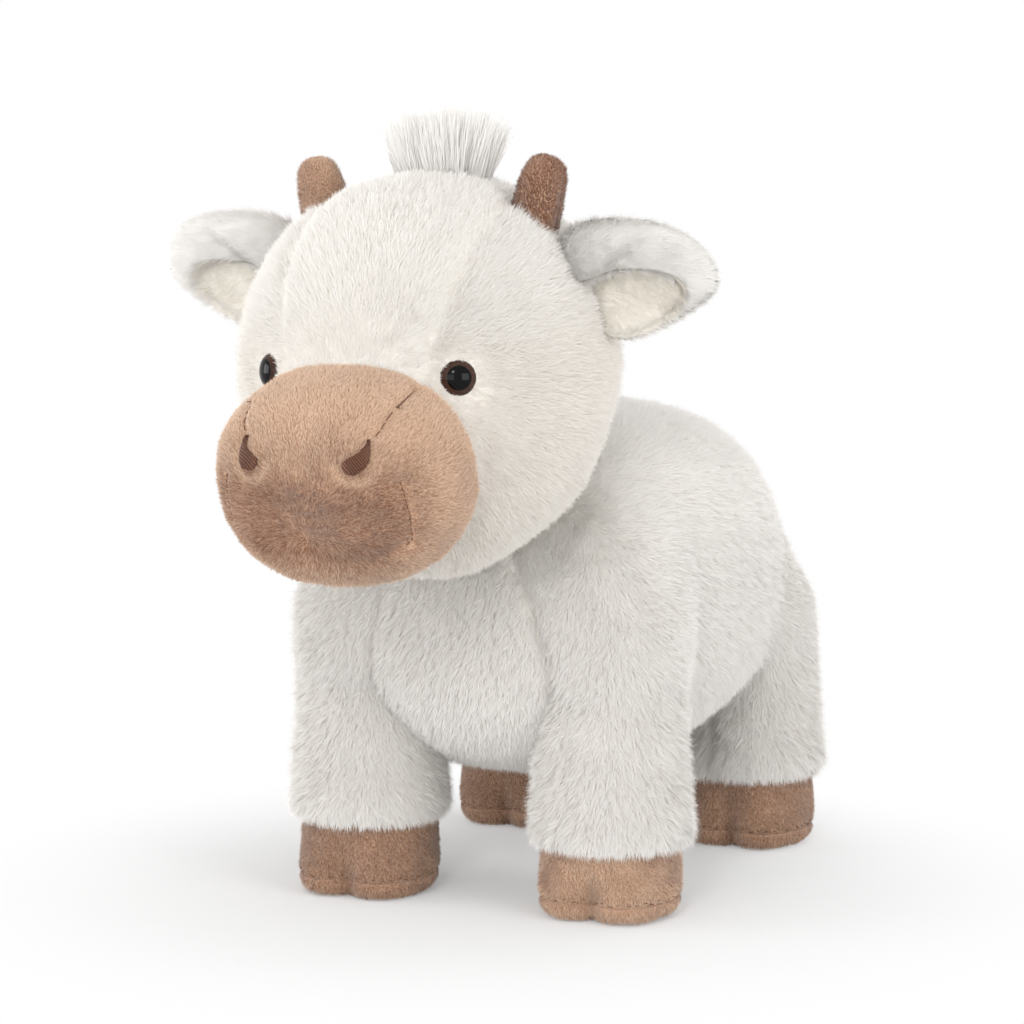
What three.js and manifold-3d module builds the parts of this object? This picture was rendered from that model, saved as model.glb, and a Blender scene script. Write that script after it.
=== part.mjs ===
// A standing plush cow, about 31 cm tall: white long-pile fabric over polyester filling, with a tan
// short-pile muzzle, horns and hooves, domed plastic eyes and embroidered nostrils.
// Millimetres, +Z up. The cow faces -Y and its left side is +X. It stands on z = 0, with the origin
// under the middle of its bounding box. Covers are shells with the stuffing as separate solids inside.
import * as THREE from "three";
import { mergeVertices } from "three/addons/utils/BufferGeometryUtils.js";
import Module from "manifold-3d";

const wasm = await Module();
wasm.setup();

// Running gap between neighbouring pieces, and the gap along a sewn seam
const clearance = 0.3;
const seamGap = 0.3;
// How far a cutting shape runs past what it cuts
const overrun = 20;
// Corners closer than this are one corner
const weldDistance = 0.0001;
// Fabric thickness with its pile: long pile on the white parts, short pile on the tan ones
const longPile = 8;
const shortPile = 2.6;

// Torso: a plump horizontal barrel
const torsoHalfWidth = 77;
const torsoHalfLength = 111;
const torsoHalfHeight = 75;
const torsoCentreHeight = 118.5;
const torsoPlumpShare = 2.75;
const rumpDropShare = 0.19;

// Legs stand in pairs, each hung on a soft hip. The hips' middle line is the layout's own y = 0
const legSpreadHalf = 52;
const legStanceHalf = 75;
const frontHipHeight = 104;
const rearHipHeight = 96;
const legTopRadius = 28.5;
const legWaistRadius = 29.5;
const legCuffRadius = 31.5;
const cuffHeight = 28.5;
const legSwing = 8;

// Hooves: a short-pile cup with a rounded foot, closed below by a sole
const hoofRadius = 28;
const hoofTopRadius = 26.5;
const hoofTopHeight = 38.5;
const hoofBulgeHeight = 17;
const soleFlatRadius = 20;
const soleSeamHeight = 7.5;
const footEndAngle = -10;
const cleftHalfWidth = 4.5;
const cleftDepth = 7;
const cleftHeight = 17;

// Head: a ball in front of and above the torso, with a snout that carries the muzzle
const headHalfWidth = 71;
const headHalfDepth = 71;
const headHalfHeight = 75.5;
const headForward = 127;
const headHeight = 210.5;
const headPlumpShare = 2.12;
const snoutForward = 58;
const snoutDrop = 27;
const snoutTilt = 18;
const snoutHalfWidth = 46;
const snoutHalfHeight = 38.5;
const snoutHalfDepth = 44;

// Muzzle: a blunt dome sewn to the snout's ring
const muzzleHalfWidth = 47.5;
const muzzleHalfHeight = 39.5;
const muzzleHalfDepth = 38;
const muzzleBase = 11;
const muzzlePlumpShare = 2.3;

// Neck: a plug of filling that passes from the torso into the head
const neckLean = 45;
const seatLean = 49;
const neckBallRadius = 20;
const neckStubRadius = 15;
const neckStubLength = 44;
const neckSink = 5;
const seatFlare = 62;
const seatGap = 1.1;

// Eyes: a domed head on a shank, with a washer behind the fabric
const eyeRadius = 6.75;
const eyeDomeHeight = 5;
const eyeRimHeight = 1;
const eyeSide = 38;
const eyeAhead = 56;
const eyeUp = 4.5;
const eyeSeatDepth = 5.6;
const shankRadius = 2;
const shankLength = 8;
const washerRadius = 8;
const washerThickness = 1.6;

// Nostrils: embroidered commas let into the muzzle's pile
const nostrilSide = 20;
const nostrilUp = 18;
const nostrilLength = 13;
const nostrilWidth = 10;
const nostrilThickness = 1.1;
const nostrilLean = 18;
const nostrilTipShare = 0.55;

// Horns: stubby stuffed cones
const hornSide = 43;
const hornUp = 60;
const hornRadius = 10;
const hornTipRadius = 6;
const hornLength = 23.5;
const hornRoot = 6;
const hornLean = 14;
const hornFlatShare = 0.84;

// Ears: cupped leaves that fold about the seam at their root
const earLength = 55;
const earSideLength = 33.5;
const earCupRadius = 24;
const earRootInset = 8;
const earHalfThickness = 4.5;
const earRootSide = 57.5;
const earRootUp = 45;
const earBehind = 4;
const earRootRadius = 4.5;
const earRootHalfLength = 9;
const earRootLean = 33;
const earRise = 30;
const earRoll = 25;
const earFold = 30;
const earPlumpShare = 2.3;
const earRootNarrowShare = 0.35;
const liningHalfThickness = 1.8;
const liningMargin = 5;
const liningSet = 2.2;

// Forelock: a fan of long fur on the crown
const forelockHalfWidth = 22;
const forelockHalfDepth = 8;
const forelockHeight = 23;
const forelockBack = 12;
const forelockPlumpShare = 2.6;
const forelockSpreadShare = 0.16;

// Tail: a ball root in the rump, a fabric tube and a brush of fur
const tailHeight = 144.5;
const tailRootRadius = 7;
const tailTubeRadius = 5.5;
const tailLength = 62;
const brushHalfLength = 19;
const brushRadius = 11;
const tailStandOff = 5;
const tailRootProud = 1;
const brushOverlap = 5;

// Pattern seams, as half widths of the panel between them at heights on the cow
const chestPanelHalfWidth = 39;
const chestPanelNeckHalfWidth = 15;
const chestPanelBellyHalfWidth = 28;
const chestPanelTop = 167.5;
const chestPanelWidest = 84.5;
const chestPanelEnd = 80;
const foreheadHalfWidth = 28;
const foreheadCrownHalfWidth = 46;
const foreheadLow = 180.5;
const foreheadMid = 228.5;
const foreheadHigh = 296.5;

// The plump share of a plain ball
const roundShare = 2;

// How finely the round forms are divided
const bodySides = 18;
const bodyRings = 10;
const snoutSides = 16;
const snoutRings = 10;
const neckSides = 20;
const limbSides = 12;
const smallSides = 10;
const cleftSides = 6;
const footSteps = 2;
const tailSteps = 7;

const deg = THREE.MathUtils.degToRad;
const euler = (x, y, z) => new THREE.Euler(deg(x), deg(y), deg(z));
const rotated = (x, y, z) => new THREE.Matrix4().makeRotationFromEuler(euler(x, y, z));
const moved = (x, y, z) => new THREE.Matrix4().makeTranslation(x, y, z);

// A closed three.js geometry, placed by matrices from last to first, as a solid
function solidFrom(geometry, ...matrices) {
  const bare = new THREE.BufferGeometry();
  bare.setAttribute("position", geometry.getAttribute("position").clone());
  if (geometry.index) bare.setIndex(geometry.index);
  const place = matrices.reduce((all, matrix) => all.multiply(matrix), new THREE.Matrix4());
  const merged = mergeVertices(bare.applyMatrix4(place), weldDistance);
  const vertProperties = new Float32Array(merged.getAttribute("position").array);
  const triVerts = new Uint32Array(merged.index.array);
  if (place.determinant() < 0) triVerts.reverse();
  return new wasm.Manifold(new wasm.Mesh({ numProp: 3, vertProperties, triVerts }));
}

// A ball pulled towards a box as plumpShare rises above roundShare, with its poles on the Y axis
function plumpBall(halfX, halfY, halfZ, plumpShare, sides, rings, shape = (p) => p) {
  const ball = new THREE.SphereGeometry(1, sides, rings);
  const places = ball.getAttribute("position");
  for (let i = 0; i < places.count; i++) {
    const p = new THREE.Vector3().fromBufferAttribute(places, i);
    const size = Math.abs(p.x) ** plumpShare + Math.abs(p.y) ** plumpShare + Math.abs(p.z) ** plumpShare;
    p.divideScalar(size ** (1 / plumpShare));
    shape(p);
    places.setXYZ(i, p.x * halfX, p.y * halfY, p.z * halfZ);
  }
  return ball;
}

// A revolved form about +Z from [radius, height] points that start and end on the axis
function revolved(points, sides) {
  const profile = points.map(([radius, height]) => new THREE.Vector2(radius, height));
  return new THREE.LatheGeometry(profile, sides).rotateX(Math.PI / 2);
}

// A straight round bar from z = low to z = high
function bar(radius, low, high, sides) {
  return revolved([[0, low], [radius, low], [radius, high], [0, high]], sides);
}

// A flat outline in X and Z, as [x, z] points, run along Y from near to far
function prismAlongY(outline, near, far) {
  const shape = new THREE.Shape(outline.map(([x, z]) => new THREE.Vector2(x, z)));
  const prism = new THREE.ExtrudeGeometry(shape, { depth: far - near, bevelEnabled: false });
  return prism.rotateX(Math.PI / 2).translate(0, far, 0);
}

// A mirror-image outline from half widths at heights
function bandOutline(rows, grow) {
  const right = rows.map(([half, height]) => [half + grow, height]);
  const left = rows.map(([half, height]) => [-half - grow, height]).reverse();
  return [...right, ...left];
}

// How much larger a faceted hole is made, so that a faceted form of the same sides turns freely in it:
// a round one about its own axis, and a ball any way round
function roomy(radius, sides) {
  return (radius + clearance) / Math.cos(Math.PI / sides);
}

function roomyBall(radius, sides) {
  return roomy(radius, sides) / Math.cos(Math.PI / sides);
}

// A box between two corners
function block(low, high) {
  const size = high.map((value, i) => value - low[i]);
  const middle = high.map((value, i) => (value + low[i]) / 2);
  return solidFrom(new THREE.BoxGeometry(...size), moved(...middle));
}

// The outer reach of the whole cow, for cutting blocks
const reach = headForward + headHalfDepth + torsoHalfLength + headHeight + headHalfHeight;

// All that lies on one side of the middle plane, short of it by half a seam
function half(side) {
  const mirror = new THREE.Matrix4().makeScale(side, 1, 1);
  const outward = moved(seamGap / 2 + reach / 2, 0, 0);
  return solidFrom(new THREE.BoxGeometry(reach, 2 * reach, 2 * reach), mirror, outward);
}

// Torso

function torsoForm(grow) {
  const plump = plumpBall(
    torsoHalfWidth + grow, torsoHalfLength + grow, torsoHalfHeight + grow,
    torsoPlumpShare, bodySides, bodyRings,
    (p) => {
      const rear = Math.max(p.y, 0);
      if (p.z > 0) p.z *= 1 - rumpDropShare * rear * rear;
    },
  );
  return solidFrom(plump, moved(0, 0, torsoCentreHeight));
}

// Head

const headCentre = new THREE.Vector3(0, -headForward, headHeight);
const snoutPlace = [moved(0, -headForward - snoutForward, headHeight - snoutDrop), rotated(snoutTilt, 0, 0)];

// In the snout's own frame, -Y points out of the face and the ring lies on y = 0
function headForm(grow) {
  const ball = solidFrom(
    plumpBall(
      headHalfWidth + grow, headHalfDepth + grow, headHalfHeight + grow,
      headPlumpShare, bodySides, bodyRings,
    ),
    moved(...headCentre),
  );
  const snout = solidFrom(
    plumpBall(
      snoutHalfWidth + grow, snoutHalfDepth + grow, snoutHalfHeight + grow,
      roundShare, snoutSides, snoutRings,
    ),
    ...snoutPlace,
  );
  return ball.add(snout);
}

function aheadOfRing(gap) {
  const size = reach;
  return solidFrom(new THREE.BoxGeometry(size, size, size), ...snoutPlace, moved(0, -size / 2 - gap, 0));
}

function muzzleDome(grow) {
  return solidFrom(
    plumpBall(
      muzzleHalfWidth + grow, muzzleHalfDepth + grow, muzzleHalfHeight + grow,
      muzzlePlumpShare, snoutSides, snoutRings,
    ),
    ...snoutPlace, moved(0, -muzzleBase, 0),
  );
}

// Neck plug, about an axis that leans forward and passes through the head's centre

const neckDirection = new THREE.Vector3(0, -Math.sin(deg(neckLean)), Math.cos(deg(neckLean)));
const headRadius = headHalfDepth / 2 + headHalfHeight / 2;
const neckCentre = headCentre.clone().addScaledVector(neckDirection, -headRadius - seatGap + neckSink);
const neckPlace = [moved(...neckCentre), rotated(neckLean, 0, 0)];

function neckShape(ballRadius, stubRadius, stubLength) {
  const ball = solidFrom(new THREE.SphereGeometry(ballRadius, neckSides, neckSides / 2), ...neckPlace);
  return ball.add(solidFrom(bar(stubRadius, 0, stubLength, limbSides), ...neckPlace));
}

const neckForm = neckShape(neckBallRadius, neckStubRadius, neckStubLength);
const neckSocket = neckShape(
  roomyBall(neckBallRadius, neckSides),
  roomy(neckStubRadius, limbSides),
  neckStubLength + clearance,
);

// The torso's seat for the head is rounder than the head, which leaves room to nod
function neckSeat() {
  const ahead = new THREE.Vector3(0, -Math.sin(deg(seatLean)), Math.cos(deg(seatLean)));
  const seat = headCentre.clone()
    .addScaledVector(neckDirection, -headRadius - seatGap)
    .addScaledVector(ahead, headRadius + seatFlare + seatGap);
  const radius = roomy(headRadius + seatFlare + seatGap, bodySides);
  return solidFrom(new THREE.SphereGeometry(radius, bodySides, bodyRings), moved(...seat));
}

// Legs

const hips = {
  front_left: new THREE.Vector3(legSpreadHalf, -legStanceHalf, frontHipHeight),
  front_right: new THREE.Vector3(-legSpreadHalf, -legStanceHalf, frontHipHeight),
  rear_left: new THREE.Vector3(legSpreadHalf, legStanceHalf, rearHipHeight),
  rear_right: new THREE.Vector3(-legSpreadHalf, legStanceHalf, rearHipHeight),
};

// The quarter circle that closes a form's top or foot, as [radius, height] points
function quarterArc(radius, centreRadius, centreHeight, fromAngle, toAngle, steps) {
  return Array.from({ length: steps + 1 }, (_, i) => {
    const angle = deg(fromAngle + ((toAngle - fromAngle) * i) / steps);
    return [centreRadius + radius * Math.cos(angle), centreHeight + radius * Math.sin(angle)];
  });
}

function legForm(hip, grow, bottom = cuffHeight) {
  const waistHeight = (hip.z + cuffHeight) / 2;
  const dome = quarterArc(legTopRadius + grow, 0, hip.z, 0, 90, limbSides / 4).slice(0, -1);
  const cuff = bottom < cuffHeight ? [[legCuffRadius + grow, bottom]] : [];
  const points = [
    [0, bottom], ...cuff, [legCuffRadius + grow, cuffHeight], [legWaistRadius + grow, waistHeight],
    ...dome, [0, hip.z + legTopRadius + grow],
  ];
  return solidFrom(revolved(points, limbSides), moved(hip.x, hip.y, 0));
}

// The socket in the torso lies clear of the leg through its whole swing about the hip
function legSocket(hip) {
  const leg = legForm(hip, clearance);
  const place = moved(0, hip.y, hip.z);
  const back = place.clone().invert();
  const turns = [-legSwing, 0, legSwing].map((angle) => rotated(angle, 0, 0));
  const swung = turns.map((turn) => leg.transform(place.clone().multiply(turn).multiply(back).elements));
  return wasm.Manifold.hull(swung);
}

// Hooves

function hoofForm(hip, grow, above = 0) {
  const foot = hoofRadius - soleFlatRadius;
  const bottomArc = quarterArc(foot + grow, soleFlatRadius, foot, -90, footEndAngle, footSteps);
  const rim = above > 0 ? [[hoofTopRadius + grow, hoofTopHeight + above]] : [];
  const points = [
    [0, -grow], ...bottomArc, [hoofRadius + grow, hoofBulgeHeight],
    [hoofTopRadius + grow, hoofTopHeight], ...rim, [0, hoofTopHeight + above],
  ];
  const cup = solidFrom(revolved(points, limbSides), moved(hip.x, hip.y, 0));
  const notch = plumpBall(
    cleftHalfWidth - grow / 2, cleftDepth - grow / 2, cleftHeight - grow / 2,
    roundShare, cleftSides, cleftSides,
  );
  const cleft = solidFrom(notch, moved(hip.x, hip.y - hoofRadius - grow / 2, 0));
  return cup.subtract(cleft);
}

// Eyes, in a frame whose +Z is the eye's own axis

function eyePlace(side) {
  const outward = new THREE.Vector3(side * eyeSide, -eyeAhead, eyeUp);
  const ellipsoid = new THREE.Vector3(headHalfWidth, headHalfDepth, headHalfHeight);
  const skin = outward.clone().divideScalar(outward.clone().divide(ellipsoid).length());
  const normal = skin.clone().divide(ellipsoid).divide(ellipsoid).normalize();
  const seat = skin.clone().add(headCentre).addScaledVector(normal, -eyeSeatDepth);
  const turn = new THREE.Quaternion().setFromUnitVectors(new THREE.Vector3(0, 0, 1), normal);
  return new THREE.Matrix4().compose(seat, turn, new THREE.Vector3(1, 1, 1));
}

function eyeForm() {
  const rim = quarterArc(1, 0, 0, 0, 90, smallSides / 2);
  const swell = eyeDomeHeight - eyeRimHeight;
  const dome = rim.map(([across, up]) => [eyeRadius * across, eyeRimHeight + swell * up]);
  dome[dome.length - 1][0] = 0;
  const shank = [[0, -shankLength], [shankRadius, -shankLength], [shankRadius, 0]];
  return revolved([...shank, [eyeRadius, 0], ...dome], smallSides);
}

const washerTop = eyeSeatDepth - longPile - clearance;

function washerForm() {
  const bore = shankRadius + clearance;
  const low = washerTop - washerThickness;
  const inner = [[bore, washerTop], [bore, low]];
  return revolved([[bore, low], [washerRadius, low], [washerRadius, washerTop], ...inner], smallSides);
}

// Nostrils: a comma outline with its tail up and outwards, run through the muzzle's skin

function nostrilPrism(side, grow) {
  const half = nostrilWidth / 2 + grow;
  const tail = nostrilLength - nostrilWidth / 2 + grow;
  const bellyShares = [[0.0, -1.0], [0.72, -0.7], [1.0, 0.0], [0.82, 0.62]];
  const hollowShares = [[-0.12, 0.95], [-0.62, 0.72], [-1.0, 0.0], [-0.72, -0.7]];
  const corner = ([across, up]) => new THREE.Vector2(side * across * half, up * half);
  const tip = new THREE.Vector2(side * half * nostrilTipShare, tail);
  const points = [...bellyShares.map(corner), tip, ...hollowShares.map(corner)];
  const outline = new THREE.Shape(points);
  const prism = new THREE.ExtrudeGeometry(outline, { depth: muzzleHalfDepth, bevelEnabled: false });
  return solidFrom(
    prism.rotateX(Math.PI / 2),
    ...snoutPlace, moved(side * nostrilSide, -muzzleBase, nostrilUp), rotated(0, side * nostrilLean, 0),
  );
}

// Horns, in a frame whose +Z is the horn's own axis

function hornForm(side, grow) {
  const straight = hornLength - hornTipRadius;
  const tip = quarterArc(hornTipRadius + grow, 0, straight, 0, 90, smallSides / 3).slice(0, -1);
  const base = [[0, -hornRoot], [hornRadius + grow, -hornRoot], [hornRadius + grow, 0]];
  const points = [...base, ...tip, [0, hornLength + grow]];
  const flat = new THREE.Matrix4().makeScale(1, hornFlatShare, 1);
  return solidFrom(
    revolved(points, smallSides),
    moved(side * hornSide, headCentre.y, headCentre.z + hornUp), rotated(0, side * hornLean, 0), flat,
  );
}

// Ears, in a frame at the root seam: +X runs out along the ear, +Z up the seam, -Y ahead

function earPlace(side) {
  const mirror = new THREE.Matrix4().makeScale(side, 1, 1);
  const root = moved(earRootSide, headCentre.y + earBehind, headCentre.z + earRootUp);
  return [mirror, root, rotated(0, earRootLean, 0)];
}

// A leaf rolled into a half pipe that opens ahead and downwards. It is widest past its middle
function earLeaf(side, margin, halfThickness, set) {
  const halfLength = (earLength + earRootInset) / 2 - margin;
  const halfSide = earSideLength - margin;
  const leaf = plumpBall(halfLength, halfThickness, halfSide, earPlumpShare, limbSides, smallSides);
  const places = leaf.getAttribute("position");
  for (let i = 0; i < places.count; i++) {
    const along = places.getX(i) / halfLength;
    const open = 1 - (earRootNarrowShare * (1 - along)) / 2;
    const radius = earCupRadius * open;
    const turn = places.getZ(i) / earCupRadius;
    const offset = radius + places.getY(i) - set;
    const out = places.getX(i) + (earLength - earRootInset) / 2;
    places.setXYZ(i, out, offset * Math.cos(turn) - radius, offset * Math.sin(turn));
  }
  return solidFrom(leaf, ...earPlace(side), rotated(0, -earRise, 0), rotated(earRoll, 0, 0));
}

// What the ear may not reach into: the head and its horn, as the ear meets them through its whole fold
function headSweptByEar(side) {
  const place = earPlace(side).reduce((all, matrix) => all.multiply(matrix), new THREE.Matrix4());
  const back = place.clone().invert();
  const ball = plumpBall(
    headHalfWidth + clearance, headHalfDepth + clearance, headHalfHeight + clearance,
    headPlumpShare, bodySides, bodyRings,
  );
  const still = solidFrom(ball, moved(...headCentre)).add(hornForm(side, clearance));
  const shares = [-1, -1 / 2, 0, 1 / 2, 1];
  const turns = shares.map((share) => rotated(0, 0, earFold * share));
  const turned = turns.map((turn) => still.transform(place.clone().multiply(turn).multiply(back).elements));
  return turned.reduce((all, solid) => all.add(solid));
}

function earRoot(side, grow) {
  return solidFrom(
    bar(earRootRadius + grow, -earRootHalfLength - grow, earRootHalfLength + grow, smallSides),
    ...earPlace(side),
  );
}

// Forelock and tail

function forelockForm() {
  const spread = (p) => {
    p.x *= 1 + forelockSpreadShare * p.z;
  };
  const fan = plumpBall(
    forelockHalfWidth, forelockHalfDepth, forelockHeight,
    forelockPlumpShare, limbSides, smallSides, spread,
  );
  return solidFrom(fan, moved(0, headCentre.y + forelockBack, headHeight + headHalfHeight - clearance));
}

const tailPivot = new THREE.Vector3(0, torsoHalfLength + tailRootProud, tailHeight);

function tailBall(radius) {
  return solidFrom(new THREE.SphereGeometry(radius, limbSides, limbSides / 2), moved(...tailPivot));
}

const tailSocket = tailBall(roomyBall(tailRootRadius, limbSides));

function tailTube(grow) {
  const hang = tailStandOff + tailTubeRadius;
  const route = new THREE.CatmullRomCurve3([
    tailPivot.clone(),
    tailPivot.clone().add(new THREE.Vector3(0, hang, -tailRootRadius)),
    tailPivot.clone().add(new THREE.Vector3(0, hang, -tailLength / 2)),
    tailPivot.clone().add(new THREE.Vector3(0, hang, -tailLength - grow)),
  ]);
  const circle = new THREE.Shape().absarc(0, 0, tailTubeRadius + grow, 0, 2 * Math.PI);
  const options = { steps: tailSteps, curveSegments: smallSides / 2, extrudePath: route };
  return solidFrom(new THREE.ExtrudeGeometry(circle, options));
}

function tailBrush() {
  const hang = tailStandOff + tailTubeRadius;
  const low = tailLength + brushHalfLength - brushOverlap;
  const brush = plumpBall(brushRadius, brushRadius, brushHalfLength, roundShare, smallSides, smallSides);
  return solidFrom(brush, moved(0, tailPivot.y + hang, tailPivot.z - low));
}

// Materials

const whitePlush = new THREE.MeshStandardMaterial({ color: 0xf3efe9, roughness: 0.95, metalness: 0 });
const creamLining = new THREE.MeshStandardMaterial({ color: 0xefe8dc, roughness: 0.95, metalness: 0 });
const tanPlush = new THREE.MeshStandardMaterial({ color: 0xb0866a, roughness: 0.9, metalness: 0 });
const brownThread = new THREE.MeshStandardMaterial({ color: 0x5e3524, roughness: 0.7, metalness: 0 });
const eyePlastic = new THREE.MeshStandardMaterial({ color: 0x120d0c, roughness: 0.1, metalness: 0 });
const washerPlastic = new THREE.MeshStandardMaterial({ color: 0xe9e6df, roughness: 0.5, metalness: 0 });
const filling = new THREE.MeshStandardMaterial({ color: 0xfbfaf6, roughness: 1, metalness: 0 });

// A group stands at each joint, so a piece's own place is measured from the joint that carries it
const cow = new THREE.Group();
const worldPlaces = new Map([[cow, new THREE.Vector3()]]);

function groupAt(parent, place) {
  const group = new THREE.Group();
  group.position.copy(place).sub(worldPlaces.get(parent));
  worldPlaces.set(group, place.clone());
  parent.add(group);
  return group;
}

function addPiece(parent, name, solid, material) {
  const { vertProperties, triVerts } = solid.getMesh();
  const geometry = new THREE.BufferGeometry();
  geometry.setAttribute("position", new THREE.BufferAttribute(new Float32Array(vertProperties), 3));
  geometry.setIndex(new THREE.BufferAttribute(new Uint32Array(triVerts), 1));
  const place = worldPlaces.get(parent);
  geometry.translate(-place.x, -place.y, -place.z);
  geometry.computeVertexNormals();
  const mesh = new THREE.Mesh(geometry, material);
  mesh.name = name;
  parent.add(mesh);
}

// Torso: two side panels and a chest and belly panel round one body of filling
const torso = groupAt(cow, new THREE.Vector3(0, 0, torsoCentreHeight));
{
  const cuts = [neckSeat(), neckSocket, tailSocket];
  for (const hip of Object.values(hips)) cuts.push(legSocket(hip));
  const cutAll = (solid) => cuts.reduce((left, cut) => left.subtract(cut), solid);
  const shell = cutAll(torsoForm(0).subtract(torsoForm(-longPile)));
  const band = (grow) => {
    const rows = [
      [chestPanelBellyHalfWidth, 0], [chestPanelHalfWidth, chestPanelWidest],
      [chestPanelNeckHalfWidth, chestPanelTop],
    ];
    const prism = prismAlongY(bandOutline(rows, grow), -torsoHalfLength - overrun, chestPanelEnd + grow);
    return solidFrom(prism).subtract(block([-reach, 0, torsoCentreHeight], [reach, reach, reach]));
  };
  const sides = shell.subtract(band(seamGap));
  addPiece(torso, "side_panel_left", sides.intersect(half(1)), whitePlush);
  addPiece(torso, "side_panel_right", sides.intersect(half(-1)), whitePlush);
  addPiece(torso, "chest_belly_panel", shell.intersect(band(0)), whitePlush);
  addPiece(torso, "body_filling", cutAll(torsoForm(-longPile - clearance)), filling);
}

// Legs: a cover, a hoof and a sole round one filling, on each hip
for (const [name, hip] of Object.entries(hips)) {
  const leg = groupAt(torso, hip);
  const inside = legForm(hip, -longPile, cuffHeight - overrun);
  const cover = legForm(hip, 0).subtract(inside).subtract(hoofForm(hip, clearance, clearance));
  addPiece(leg, "leg_cover_" + name, cover, whitePlush);
  const cup = hoofForm(hip, 0).subtract(hoofForm(hip, -shortPile, overrun));
  const low = block([-reach, -reach, -reach], [reach, reach, soleSeamHeight]);
  const lowCut = block([-reach, -reach, -reach], [reach, reach, soleSeamHeight + seamGap]);
  addPiece(leg, "hoof_cover_" + name, cup.subtract(lowCut), tanPlush);
  addPiece(leg, "sole_" + name, cup.intersect(low), tanPlush);
  const upper = legForm(hip, -longPile - clearance);
  const lower = hoofForm(hip, -shortPile - clearance);
  addPiece(leg, "leg_filling_" + name, upper.add(lower), filling);
}

// Neck and head
const neck = groupAt(torso, neckCentre);
addPiece(neck, "neck_filling", neckForm, filling);

const head = groupAt(neck, headCentre);
{
  const hollow = headForm(-longPile);
  let shell = headForm(0).subtract(hollow).subtract(aheadOfRing(-seamGap / 2)).subtract(neckSocket);
  let stuffing = headForm(-longPile - clearance)
    .subtract(aheadOfRing(0))
    .add(muzzleDome(-shortPile - 2 * clearance).intersect(aheadOfRing(0)))
    .subtract(neckSocket);
  const ring = solidFrom(
    plumpBall(
      snoutHalfWidth - longPile - 2 * clearance, overrun, snoutHalfHeight - longPile - 2 * clearance,
      roundShare, snoutSides, snoutRings,
    ),
    ...snoutPlace,
  );
  stuffing = stuffing.add(ring);
  for (const side of [1, -1]) {
    const place = eyePlace(side);
    shell = shell
      .subtract(solidFrom(bar(eyeRadius + clearance, 0, longPile * 2, smallSides), place))
      .subtract(solidFrom(bar(shankRadius + clearance, -overrun, overrun, smallSides), place))
      .subtract(solidFrom(bar(washerRadius + clearance, -overrun, washerTop + clearance, smallSides), place));
    stuffing = stuffing.subtract(
      solidFrom(bar(washerRadius + clearance, -shankLength - clearance, overrun, smallSides), place),
    );
    shell = shell.subtract(earRoot(side, clearance));
    stuffing = stuffing.subtract(earRoot(side, clearance));
  }
  const rows = [
    [foreheadHalfWidth, foreheadLow], [foreheadHalfWidth, foreheadMid],
    [foreheadCrownHalfWidth, foreheadHigh],
  ];
  const band = (grow) => {
    const prism = prismAlongY(bandOutline(rows, grow), -reach, reach);
    const crown = block([-reach, -reach, foreheadLow - grow], [reach, reach, foreheadHigh]);
    return solidFrom(prism).intersect(crown);
  };
  const cheeks = shell.subtract(band(seamGap));
  addPiece(head, "forehead_panel", shell.intersect(band(0)), whitePlush);
  addPiece(head, "cheek_panel_left", cheeks.intersect(half(1)), whitePlush);
  addPiece(head, "cheek_panel_right", cheeks.intersect(half(-1)), whitePlush);
  addPiece(head, "head_filling", stuffing, filling);

  const dome = muzzleDome(0).intersect(aheadOfRing(seamGap / 2));
  let muzzle = dome.subtract(muzzleDome(-shortPile));
  const skin = dome.subtract(muzzleDome(-nostrilThickness));
  const pocket = muzzleDome(overrun).subtract(muzzleDome(-nostrilThickness - clearance));
  for (const [name, side] of [["left", 1], ["right", -1]]) {
    muzzle = muzzle.subtract(pocket.intersect(nostrilPrism(side, clearance)));
    addPiece(head, "nostril_" + name, skin.intersect(nostrilPrism(side, 0)), brownThread);
    addPiece(head, "eye_" + name, solidFrom(eyeForm(), eyePlace(side)), eyePlastic);
    addPiece(head, "eye_washer_" + name, solidFrom(washerForm(), eyePlace(side)), washerPlastic);
    const horn = hornForm(side, 0).subtract(headForm(clearance));
    addPiece(head, "horn_cover_" + name, horn.subtract(hornForm(side, -shortPile)), tanPlush);
    const core = hornForm(side, -shortPile - clearance).subtract(headForm(clearance));
    addPiece(head, "horn_filling_" + name, core, filling);
  }
  addPiece(head, "muzzle_cover", muzzle, tanPlush);
  addPiece(head, "forelock", forelockForm().subtract(headForm(clearance)), whitePlush);
}

// Ears: a pile back with its rolled root, and a short-pile lining
for (const [name, side] of [["left", 1], ["right", -1]]) {
  const root = new THREE.Vector3(side * earRootSide, headCentre.y + earBehind, headCentre.z + earRootUp);
  const ear = groupAt(head, root);
  const swept = headSweptByEar(side);
  const set = liningSet + earHalfThickness / 2;
  const lining = earLeaf(side, liningMargin, liningHalfThickness, set);
  const cut = earLeaf(side, liningMargin - clearance, liningHalfThickness + clearance, set);
  const back = earLeaf(side, 0, earHalfThickness, 0).subtract(swept).add(earRoot(side, 0)).subtract(cut);
  addPiece(ear, "ear_back_" + name, back, whitePlush);
  addPiece(ear, "ear_lining_" + name, lining.subtract(swept).subtract(earRoot(side, clearance)), creamLining);
}

// Tail
const tailRoot = groupAt(torso, tailPivot);
addPiece(tailRoot, "tail_root", tailBall(tailRootRadius), whitePlush);
const tail = groupAt(tailRoot, tailPivot);
addPiece(tail, "tail_tube", tailTube(0).subtract(tailSocket), whitePlush);
addPiece(tail, "tail_brush", tailBrush().subtract(tailTube(clearance)), whitePlush);

// The origin moves under the middle of the bounding box
cow.updateMatrixWorld(true);
const bounds = new THREE.Box3().setFromObject(cow);
cow.position.y = -(bounds.min.y + bounds.max.y) / 2;

export default cow;
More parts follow.
